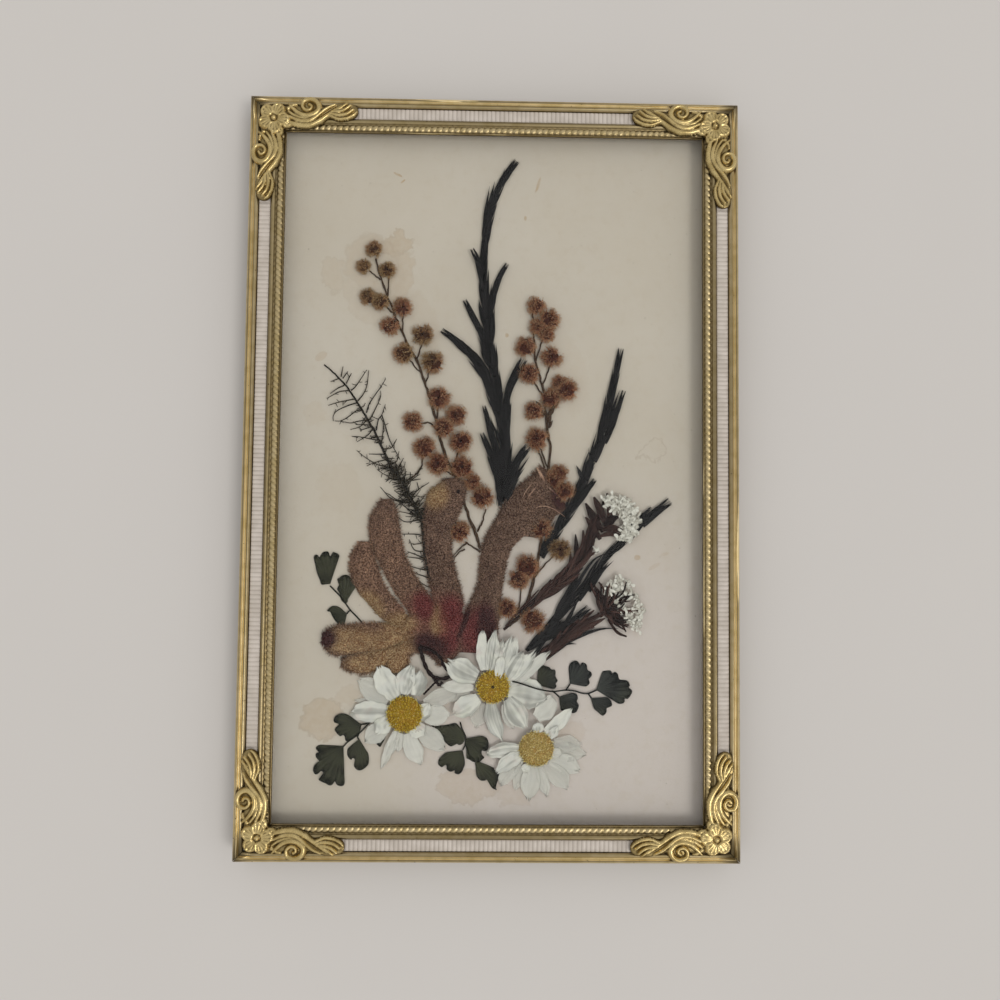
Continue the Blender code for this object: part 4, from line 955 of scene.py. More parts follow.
# --- daisies ----------------------------------------------------------------------------------
# A petal: (path, width, thinness, height at its root, at its tip, depth of its teeth).
DAISIES = {
    "daisy_left": ((-24, -68.5, 5.3, 5.9), [
        ([(-18.5, -65.5), (-8, -61.5)], 4.4, 0.62, 5.6, 5.6, 0.05),
        ([(-29, -71.5), (-35.5, -77)], 5.0, 0.35, 5.5, 4.5, 0.04),
        ([(-28.5, -65), (-38, -58.7)], 5.8, 0.4, 5.6, 4.9, 0.05),
        ([(-29.5, -65.5), (-39, -65)], 2.0, 0.6, 5.3, 4.5, 0.05),
        ([(-20, -72.5), (-12, -79)], 5.2, 0.45, 5.5, 4.5, 0.05),
        ([(-25, -74), (-26, -80)], 2.6, 0.2, 5.4, 4.6, 0.1),
        ([(-26.5, -73.5), (-30.6, -84.8)], 2.4, 0.25, 5.5, 4.5, 0.06),
        ([(-26, -73.5), (-29, -81.5)], 2.8, 0.05, 5.6, 4.6, 0.05),
        ([(-23, -74), (-21.5, -78.5), (-18.8, -83.4)], 4.9, 0.1, 5.6, 4.6, 0.03),
        ([(-28.5, -68), (-34, -68), (-40.2, -68.6)], 6.0, 0.0, 5.7, 4.9, 0.06),
        ([(-26.5, -64), (-29.5, -59.5), (-31.7, -54.7)], 6.0, 0.0, 6.1, 6.3, 0.03),
        ([(-24.5, -63), (-23.6, -58.5), (-22, -54.2)], 5.0, 0.0, 6.1, 6.3, 0.09),
        ([(-21, -63.3), (-20.2, -59.5), (-19.4, -55.7)], 4.8, 0.0, 6.2, 6.4, 0.05),
        ([(-18.5, -69.3), (-14.5, -68.8), (-10.8, -68.6)], 5.6, 0.15, 5.7, 5.4, 0.02),
        ([(-22.5, -72), (-20, -73.2), (-17.8, -74.6)], 4.4, 0.0, 5.8, 5.6, 0.05),
        ([(-19.8, -70), (-18.4, -67.6), (-17, -65.2)], 3.8, 0.0, 5.9, 6.1, 0.02),
        ([(-28.7, -69.8), (-30.4, -72.2), (-32.2, -74.4)], 4.3, 0.0, 5.8, 5.6, 0.02),
    ]),
    "daisy_middle": ((1.0, -60.6, 4.9, 6.15), [
        ([(-2.2, -65.3), (-3.8, -73)], 4.2, 0.75, 5.6, 4.5, 0.05),
        ([(4.5, -65.5), (5.6, -69), (7.2, -73.2)], 3.6, 0.4, 5.6, 4.8, 0.05),
        ([(-5.5, -62), (-11.8, -65)], 2.4, 0.65, 5.7, 5.3, 0.05),
        ([(-4.5, -61), (-14.2, -60.3)], 3.4, 0.1, 6.1, 6.2, 0.04),
        ([(-3.5, -58), (-8, -56), (-12.8, -52.8)], 6.4, 0.0, 6.3, 6.5, 0.12),
        ([(-3, -63.8), (-7, -66.5), (-11.3, -69)], 5.6, 0.0, 6.2, 5.9, 0.12),
        ([(0.5, -64.5), (1.2, -70), (4.1, -76.6)], 4.4, 0.0, 6.1, 5.5, 0.04),
        ([(13.5, -69.5), (16.5, -66.5), (18, -62.8)], 5.6, 0.12, 5.7, 5.2, 0.02),
        ([(5.5, -62), (11, -62.6), (17, -64)], 8.0, 0.0, 6.0, 5.5, 0.04),
        ([(5.3, -64), (8, -68.5), (11, -72.8)], 5.6, 0.0, 6.0, 5.7, 0.05),
        ([(5.5, -60.5), (11, -56), (18, -49.8)], 3.4, 0.1, 6.3, 6.5, 0.1),
        ([(5.5, -59.3), (9.5, -54.6), (13.6, -49.6)], 3.8, 0.0, 6.4, 6.6, 0.12),
        ([(5, -58.8), (7.5, -54.2), (10, -49.8)], 3.9, 0.0, 6.45, 6.65, 0.12),
        ([(-1.5, -56), (-2.2, -50.2), (-2.1, -44.3)], 3.3, 0.0, 6.3, 6.6, 0.04),
        ([(3.8, -57), (6.2, -51.5), (8, -45.8)], 3.2, 0.0, 6.35, 6.6, 0.08),
        ([(3.4, -57), (5, -51), (6.6, -45.2)], 3.3, 0.0, 6.4, 6.65, 0.12),
        ([(2, -56), (3, -51), (3.9, -45.8)], 2.9, 0.0, 6.45, 6.7, 0.2),
        ([(0, -56), (0.8, -50.5), (1.5, -44)], 3.3, 0.0, 6.45, 6.7, 0.04),
        ([(2.4, -58.2), (3, -54.5), (3.5, -51)], 2.6, 0.0, 6.95, 6.8, 0.08),
    ]),
    "daisy_right": ((13.5, -78.0, 5.2, 5.7), [
        ([(18.5, -76.5), (27, -77)], 4.2, 0.72, 5.2, 4.4, 0.05),
        ([(18.5, -78.5), (28.5, -80)], 4.8, 0.6, 5.2, 4.4, 0.05),
        ([(17.5, -81), (22, -82.5), (26.5, -84.7)], 5.4, 0.25, 5.3, 4.5, 0.04),
        ([(16, -82.5), (20, -86), (23, -90)], 5.4, 0.38, 5.3, 4.5, 0.03),
        ([(14.5, -83), (17, -92.5)], 3.0, 0.35, 5.3, 4.5, 0.06),
        ([(10, -82.5), (7.5, -90.5)], 3.6, 0.5, 5.2, 4.5, 0.05),
        ([(9, -81), (6, -84.5), (3, -89)], 4.4, 0.4, 5.3, 4.7, 0.03),
        ([(12.5, -83), (12, -88), (11.3, -93.5)], 5.2, 0.25, 5.4, 4.6, 0.06),
        ([(9, -78), (4, -78.6), (-1.4, -79.8)], 4.2, 0.0, 5.7, 5.3, 0.05),
        ([(9.5, -79.8), (5.5, -82), (2, -85)], 3.9, 0.0, 5.8, 5.5, 0.02),
        ([(14, -73.5), (14, -70.4)], 3.2, 0.0, 6.0, 6.1, 0.08),
        ([(16, -73.5), (20, -70.5), (23.6, -66.4)], 3.4, 0.0, 5.9, 6.0, 0.02),
        ([(17.4, -75), (18.6, -73.2), (19.6, -71.4)], 2.4, 0.0, 6.1, 6.2, 0.02),
        ([(11, -82.6), (10, -85)], 2.4, 0.0, 5.7, 5.4, 0.06),
        ([(17.8, -79), (21, -80)], 3.0, 0.1, 5.6, 5.2, 0.06),
    ]),
}
PETAL = [0.5, 0.72, 0.92, 1.0, 0.95, 0.8, 0.54, 0.2]


def build_daisies(petals, disc):
    for number, (name, ((x, y, radius, low), places)) in enumerate(DAISIES.items()):
        rng = np.random.default_rng(300 + number)
        made = Build()
        for path, width, thin, first, last, teeth in places:
            shape = [*PETAL[:-2], PETAL[-2] + rng.uniform(-0.14, 0.1), rng.uniform(0.04, 0.3)]
            strip(made, raised(curve(path, 9), (first, last)), 1.1 * width, shape, rng, 25, 15,
                  arch=rng.uniform(-0.3, 0.1), ridge=0.04, thickness=0.06,
                  tone=rng.uniform(0.48, 0.62) if not thin else 1.5 + thin, teeth=1.4 * teeth + 0.07, crumple=0.1)
        made.piece(f"{name}_rays", petals, [f"{name}_petals"])
        made = Build()
        turn = np.linspace(0, 2 * np.pi, 41)[:-1]
        rings = np.array([0.02, 0.35, 0.7, 0.95, 1.0, 0.95])[:, None]
        heights = low + np.array([0.72, 0.68, 0.5, 0.25, 0.05, -0.15])[:, None]
        made.grid(np.stack([x + rings * radius * 0.94 * np.cos(turn), y + rings * radius * 0.94 * np.sin(turn),
                            heights + 0 * turn], -1), 0.15, close_columns=True, caps=True)
        count = 430
        order = np.arange(count) + 0.5
        away = np.sqrt(order / count)
        turn = order * 2.39996 + rng.normal(0, 0.05, count)
        hub = np.stack([x + radius * away * np.cos(turn), y + radius * away * np.sin(turn),
                        low + 0.1 + 0.66 * np.sqrt(1 - 0.9 * away ** 2)], 1)
        hub += rng.normal(0, 0.05, hub.shape)
        size = 0.2 * rng.uniform(0.75, 1.25, count)
        corner = np.arange(6) * np.pi / 3
        ring = np.stack([np.cos(corner), np.sin(corner), 0 * corner], 1)
        bead = np.concatenate([ring * [1, 1, 0] - [0, 0, 0.6], ring * [0.85, 0.85, 0] + [0, 0, 0.6],
                               [[0, 0, 1.0]]])
        points = hub[:, None] + bead[None] * size[:, None, None]
        start = 13 * np.arange(count)[:, None, None]
        walls = np.array([[k, (k + 1) % 6, (k + 1) % 6 + 6, k + 6] for k in range(6)])
        tops = np.array([[k + 6, (k + 1) % 6 + 6, 12] for k in range(6)])
        shade = np.clip(rng.normal(0.5, 0.22, count), 0, 1)
        shade = np.where(away > 0.93, 0.95, shade)
        made.add(points, (start + walls).reshape(-1, 4), np.repeat(shade, 13))
        made.more((start + tops).reshape(-1, 3))
        tip = hub + np.stack([0.5 * away * np.cos(turn), 0.5 * away * np.sin(turn),
                              0.2 + 0 * turn], 1) * rng.uniform(0.4, 1.2, (count, 1))
        made.spikes(hub, np.minimum(tip, [1e3, 1e3, 7.1]), 0.09, np.clip(shade + 0.2, 0, 1))
        made.piece(f"{name}_disc", disc, [f"{name}_centre"])


def petal_look():
    look = Look("petal_look", Roughness=0.7, Specular_IOR_Level=0.25)
    soft = look.noise(0.3, 3.0, 0.5)
    cool = look.mix(look.span(soft, 0.35, 0.65), linear(232, 229, 219), linear(220, 218, 211))
    pink = look.span(look.noise(0.22, 3.0, 0.5, shift=7.0), 0.56, 0.74, 0.0, 0.55)
    colour = look.mix(pink, cool, linear(214, 196, 190))
    green = look.span(look.noise(0.2, 2.0, 0.5, shift=12.0), 0.58, 0.75, 0.0, 0.3)
    colour = look.mix(green, colour, linear(196, 200, 178))
    # Painted shade: where the tone is low, in the hollows of the folds, the petals turn grey.
    dark = look.span(look.tone(), 0.36, 0.6, 0.8, 0.0)
    colour = look.mix(dark, colour, linear(146, 144, 138))
    thin = look.node("MapRange", look.tone(), 1.2, 2.8, 0.0, 1.0)
    veil = look.span(look.tone(), 1.1, 1.3)
    colour = look.mix(look.sum(veil, 0.7, "MULTIPLY"), colour, linear(236, 232, 224))
    look.set(Base_Color=colour)
    alpha = look.sum(1.0, look.sum(veil, look.sum(thin, 0.95, "MULTIPLY"), "MULTIPLY"), "SUBTRACT")
    look.set(Alpha=alpha)
    return look.material


def disc_look():
    look = Look("disc_look", Roughness=0.8, Specular_IOR_Level=0.2)
    gold = look.ramp(look.tone(), (0.0, linear(122, 90, 12)), (0.45, linear(192, 158, 40)),
                     (0.8, linear(216, 186, 76)), (1.0, linear(212, 202, 136)))
    pale = look.ramp(look.tone(), (0.0, linear(140, 112, 58)), (0.45, linear(204, 178, 106)),
                     (0.8, linear(224, 204, 140)), (1.0, linear(224, 216, 176)))
    colour = look.mix(look.zone(13.5, -78, 9, 9), gold, pale)
    rust = look.span(look.noise(0.5, 2.0, 0.5), 0.5, 0.7, 0.0, 0.35)
    colour = look.mix(look.sum(rust, 0.6, "MULTIPLY"), colour, linear(206, 130, 50))
    look.set(Base_Color=look.mix(look.zone(1.0, -60.6, 0.7, 0.7), colour, linear(60, 44, 12)))
    return look.material


# --- dark sprigs ------------------------------------------------------------------------------
# A shoot: (points from its tip, full width at the tip, at the root); a blade: its points from the tip.
SHOOTS = {
    "dark_sprig_middle": ([
        ([(6.5, 93), (3, 88), (1, 84), (-2, 74), (-3, 64.5), (-3, 55.5), (-1.5, 42.5), (0, 32),
          (1.5, 23), (2.5, 14.5), (3.5, 4), (3.2, -8)], 1.0, 3.5),
        ([(4, 62), (0.5, 56), (-1, 46), (-0.6, 38)], 0.6, 2.2), ([(-8.5, 51), (-3.5, 41), (-0.4, 31)], 0.7, 2.2),
        ([(-15, 42), (-9, 37.5), (-1.5, 28.5), (1.4, 18)], 0.8, 3.0), ([(9, 34), (5.5, 27), (3.2, 19), (3, 10)], 1.2, 2.2),
        ([(-2.5, 20), (-0.5, 13), (1.6, 5.5), (3, -1.5)], 0.5, 2.4), ([(-3, 12), (0.5, 4), (2.8, -3)], 0.5, 2.4),
        ([(5, 21), (4, 10), (3.4, 2)], 0.5, 2.0), ([(10.5, 8.5), (7.5, 4), (5, -1.5), (3.6, -6.5)], 1.2, 2.8),
        ([(-6.5, 66), (-2.8, 59)], 0.5, 1.6),
    ], [
        [(3, 90.5), (1, 84), (-1, 76.5)], [(0, 86.5), (-1.5, 79.5), (-2.5, 72)], [(-1.5, 85), (-2.5, 78), (-3, 70.5)],
        [(-3, 72), (-3.6, 66), (-3.6, 58.5)], [(-6.5, 66), (-4.5, 60), (-3, 54)], [(-2, 60), (-2.5, 52.5), (-2, 45.5)],
        [(5.5, 9), (4.5, 5), (3.8, 0)], [(6, 9.5), (5.2, 4.5), (4, -1)], [(11, 5.5), (8, 1), (5, -4)],
        [(9.5, 2), (7, -1.5), (4.6, -6)], [(8.2, -0.8), (6.4, -3.4), (4.6, -8)], [(1.5, -9), (2, -1.5), (2.2, 5)],
        [(3, -10), (3, -3), (3, 5)], [(4, -11), (4, -3), (3.6, 4)], [(1.4, 3), (2, -4), (2.4, -9)],
        [(5, -10.2), (4.2, -4), (3.8, 3)],
    ]),
    "dark_sprig_right": ([
        ([(37.5, 37.5), (35.5, 28), (33, 17.5), (31, 9.5), (28, 3), (25.5, -4.5), (20.5, -13),
          (14.5, -23.5)], 1.1, 2.5),
        ([(38.3, 25), (36.2, 18.5), (33, 9.5)], 0.5, 1.6), ([(30, -1), (26.4, -6), (21.5, -12.5)], 0.5, 1.8),
    ], [
        [(37, 25), (35, 19), (33.5, 13.5)], [(33, 19), (32, 15), (31.5, 10)], [(34, 13), (32, 8.5), (30, 4)],
        [(28, 8), (28.5, 4), (27, -1)], [(29, 7), (29.2, 3.5), (27.6, -1.5)], [(29, -1.5), (26.6, -5.4), (23.6, -10)],
        [(24.5, 3), (25.4, 1.2), (26, -0.5)], [(24.5, -1.5), (24.2, -5), (22, -11)], [(20.5, -12.5), (18, -18), (15, -24)],
        [(18.5, -13), (16.5, -18), (14.5, -23)], [(22.5, -8), (19.5, -14), (16, -20)],
    ]),
    "dark_sprig_lower": ([
        ([(52, -7), (45.5, -11.5), (40, -17), (33.5, -23.5), (28.5, -30), (23, -36.5),
          (17, -44.5), (10.5, -50.5)], 1.1, 2.3),
        ([(46.7, -9.2), (43, -12.8), (38, -19)], 0.7, 2.0), ([(25, -28), (22.8, -34), (18.5, -42)], 0.6, 2.3),
        ([(28.5, -38), (24, -41.6), (15.5, -47.5)], 1.0, 2.0),
    ], [
        [(52.4, -8), (48, -11), (44, -14.5)], [(47, -9.7), (44, -13.5), (40.5, -18)], [(25, -28), (24, -33.5), (22, -38.5)],
        [(25.5, -35.5), (23.5, -39.5), (20.5, -45)], [(24, -39), (21.5, -43), (18, -48)],
        [(37, -44), (33, -44), (29, -45), (24, -47), (18, -50)], [(25, -48.5), (22, -48.5), (18, -50)],
        [(35.5, -24.5), (32, -28), (28.5, -33.5)], [(33, -26), (29, -31), (25.5, -36)], [(34.5, -22), (29.5, -24.6), (24, -33)],
        [(22, -49), (16, -53), (11, -56.5), (6.5, -59)], [(18, -45), (14, -50), (9, -55)], [(28, -29), (22, -38), (16, -46)],
    ]),
}
BLADE = [0.03, 0.36, 0.7, 1.0, 1.0, 0.85]


def build_shoots(material):
    for number, (name, (shoots, blades)) in enumerate(SHOOTS.items()):
        rng = np.random.default_rng(400 + number)
        made = Build()
        for order, (points, first, last) in enumerate(shoots):
            length = np.linalg.norm(np.diff(points, axis=0), axis=1).sum()
            count = max(8, int(length))
            spine = curve(points, count)
            wide = np.linspace(first, last, count)
            base = 4.55 + 0.12 * order
            path = raised(spine, (base, base))
            made.tube(path, 0.26 * wide * np.clip(np.arange(count) / 5, 0.1, 1), 0.22, 8, 0.35)
            side = side_of(path)
            reach = 9
            for step in range(2, count, 2 if length > 40 else 1):
                for hand in (-1, 1):
                    root = min(count - 1, step + rng.integers(1, 4))
                    tip = max(0, root - rng.integers(6, reach + 2))
                    spread = hand * rng.uniform(0.3, 0.9)
                    inner = path[root] + side[root] * hand * 0.1 * wide[root]
                    outer = path[tip] + side[tip] * spread * max(wide[tip] * 1.1, 0.7)
                    middle = 0.5 * (path[(root + tip) // 2] + side[(root + tip) // 2] * spread * wide[(root + tip) // 2]
                                    + 0.5 * (inner + outer))
                    height = base + rng.uniform(0.0, 0.35)
                    run = raised(curve([outer[:2], middle[:2], inner[:2]], 7), (height + 0.1, height))
                    strip(made, run, rng.uniform(0.65, 1.15) * (0.5 + 0.12 * last), BLADE, rng, 8, 5,
                          arch=0.14, ridge=0.03, thickness=0.12, tone=rng.uniform(0.25, 0.75))
        for points in blades:
            height = rng.uniform(4.9, 5.15)
            strip(made, raised(curve(points, 9), (height, height - 0.2)), rng.uniform(0.9, 1.4), BLADE,
                  rng, 12, 5, arch=0.16, ridge=0.03, thickness=0.12, tone=rng.uniform(0.3, 0.8))
        made.piece(name.replace("dark_sprig", "needle_sprig"), material, [name])


def leaf_look(name, low, high, roughness=0.55, cool=None):
    look = Look(name, Specular_IOR_Level=0.12)
    grain = look.noise(1.2, 3.0, 0.6)
    # The tone carries the painted fold shade of sheets made by strip, darker in their hollows; the grain adds random
    # variation.
    tone = look.sum(look.span(look.tone(), 0.1, 0.9), look.span(grain, 0.3, 0.7, -0.2, 0.2), clamp=True)
    colour = look.mix(tone, low, high)
    if cool:
        slate = look.mix(tone, linear(15, 17, 19), linear(62, 64, 64))
        colour = look.mix(look.sum(look.zone(*cool), 0.8, "MULTIPLY", clamp=True), colour, slate)
    look.set(Base_Color=colour, Roughness=roughness)
    look.bump(look.noise(4.0, 3.0, 0.6), 0.03)
    return look


# --- feathery sprig ---------------------------------------------------------------------------
FEATHER_STEM = [
    (-49, 31.5), (-46.5, 29.5), (-44.5, 27.5), (-43, 26), (-41.5, 24), (-39.5, 21), (-37.5, 18),
    (-35.5, 14.7), (-34, 12.5), (-33, 10), (-31, 6), (-29, 1.7), (-27.5, 0), (-25, -3.5), (-24, -6),
    (-22.5, -8.5), (-21, -11.5), (-20, -13.5), (-19.5, -18), (-19, -22.5), (-18.5, -25), (-17.5, -29.5),
    (-16, -33)]
FEATHERS = [
    [(-44.5, 27.5), (-47, 26.5)], [(-43, 25.5), (-45, 24.5), (-47, 23)], [(-41.5, 24), (-44.5, 23.5), (-48, 21.5)],
    [(-40, 21.5), (-44.5, 20.5), (-47.5, 19.5)], [(-39, 20.5), (-42, 19.5), (-45, 18), (-46, 16.5), (-46, 15)],
    [(-38, 18.5), (-39.5, 18), (-42, 16), (-44, 15), (-45.5, 15)], [(-36, 15.5), (-39, 15), (-41, 14.5), (-44, 15)],
    [(-35.5, 14), (-39.5, 14)], [(-35, 13.5), (-37.5, 12.5), (-38, 12)], [(-32.5, 9.5), (-35.5, 10), (-38.5, 10.5), (-40.5, 10.5)],
    [(-31, 5.5), (-35.5, 5.5)], [(-30, 2), (-33, 2.5), (-36.5, 4.5), (-39, 6.5)], [(-29, 1.5), (-31, 1.5), (-33, 1)],
    [(-29, 1), (-30, -2)], [(-27, -1), (-30.5, -0.5), (-33, 1)], [(-26.5, -2), (-29, -1.5), (-30.5, -2.5)],
    [(-25, -8.5), (-29, -7.2), (-32, -4)], [(-25, -8), (-27.5, -7.5), (-29.5, -6)], [(-24, -7), (-26.5, -6), (-28, -5)],
    [(-23.5, -8.5), (-26, -8.5), (-27.5, -10)], [(-22.5, -11.5), (-25, -9.5), (-27, -8)], [(-20.4, -13.2), (-24.5, -14), (-27, -12.5)],
    [(-20.6, -12.6), (-24, -11.5), (-26.5, -11)], [(-19.5, -18), (-21.5, -17.5), (-25.5, -17.5)],
    [(-19, -22.5), (-22, -22), (-23.5, -19)], [(-19.4, -20), (-22.5, -20.5)], [(-19, -24.5), (-21, -23.6), (-24, -22.5)],
    [(-18.6, -25), (-21, -24.4), (-24.5, -24)], [(-18, -28), (-22, -27), (-24, -26)], [(-17.6, -30), (-22.5, -28.5)],
    [(-16, -32.5), (-18, -32.5), (-20.5, -31)], [(-44, 28), (-43.5, 31)], [(-43.5, 27.5), (-42, 29.5)], [(-42.5, 26), (-41, 29)],
    [(-41, 24), (-39.5, 25.5), (-36.5, 30)], [(-39, 21), (-37.5, 23), (-36.5, 25.5), (-36, 30)],
    [(-36.5, 17.5), (-35.5, 20.5), (-32.5, 25), (-31, 27.5)], [(-35.5, 15.5), (-34, 18.5), (-32.5, 22), (-32.5, 24)],
    [(-33.5, 12.5), (-33, 15.5), (-32, 17), (-31, 20)], [(-32, 17), (-31, 14), (-29.5, 9.5), (-27, 5), (-26.5, 4)],
    [(-32, 8.5), (-31.5, 14), (-32.5, 16.5)], [(-27.5, 0), (-26.5, 2.5), (-25.5, 4.5)], [(-27, -1), (-25.5, 1), (-25, 3.5)],
    [(-26, -2.5), (-25, -0.5), (-25, 1.5)], [(-25.5, -3.5), (-23.5, -2), (-21.5, -0.5), (-20.5, 2)], [(-23.5, -2), (-20.5, -1.5)],
    [(-23.5, -2), (-23.5, 0.5)], [(-23, -6.5), (-21, -4.5), (-18, -2.5)], [(-21, -4.5), (-21.5, -2.5)],
    [(-22, -10), (-20.5, -8), (-19, -6)], [(-21, -12), (-19.5, -10), (-18.5, -8.5)], [(-20, -14), (-19, -12), (-18, -10)],
    [(-19.6, -16.5), (-18.5, -14.5), (-17.5, -13.5)], [(-36, 16), (-38, 13.6), (-41, 12.5)], [(-34.5, 13), (-36, 11), (-39, 9)],
    [(-31.5, 7), (-29, 7.5), (-27.5, 10)], [(-29.5, 3), (-27.5, 3.5), (-26.8, 6.5)], [(-30.5, 4), (-34, 3), (-36, 2)],
]


def build_feather(material):
    rng = np.random.default_rng(500)
    made = Build()
    stem = raised(curve(FEATHER_STEM, 90), (4.5, 4.9))
    stem[:, :2] += 0.05 * rng.normal(0, 1, (90, 2))
    made.tube(stem, np.linspace(0.22, 0.55, 90), np.linspace(0.2, 0.4, 90), 7, 0.3)

    def thread(points, half, low, high):
        count = max(6, int(2 * np.linalg.norm(np.diff(points, axis=0), axis=1).sum()))
        run = raised(curve(points, count), (low, high))
        made.tube(run, half * np.linspace(1.1, 0.55, count), half * 0.8, 5, rng.uniform(0.2, 0.9))
        return run
    for points in FEATHERS:
        run = thread(points, 0.19, 4.7, 4.7 + rng.uniform(0, 0.7))
        for spot in range(2, len(run) - 1, 2):
            if rng.random() < 0.45:
                turn = rng.uniform(0, 2 * np.pi)
                reach = rng.uniform(0.6, 1.6)
                end = run[spot, :2] + reach * np.array([math.cos(turn), math.sin(turn)])
                thread([run[spot, :2], end], 0.13, run[spot, 2], run[spot, 2] + 0.15)
    for share in np.concatenate([rng.uniform(0.2, 1.0, 90), rng.uniform(0.48, 0.74, 150)]):
        root = stem[int(share * 89)]
        turn = rng.choice([150, 210, 100, 20, 60, 170]) + rng.uniform(-25, 25)
        reach = rng.uniform(0.8, 2.0) + (2.4 if 0.5 < share < 0.72 else 0.4) * rng.random()
        aim = np.array([math.cos(math.radians(turn)), math.sin(math.radians(turn))])
        bend = aim[::-1] * [-1, 1] * rng.uniform(-0.35, 0.35)
        end = root[:2] + reach * aim
        thread([root[:2], root[:2] + 0.5 * reach * (aim + bend), end], 0.155, root[2], 4.6 + rng.uniform(0, 0.9))
    made.piece("feathery_sprig", material, ["feather_sprig"])


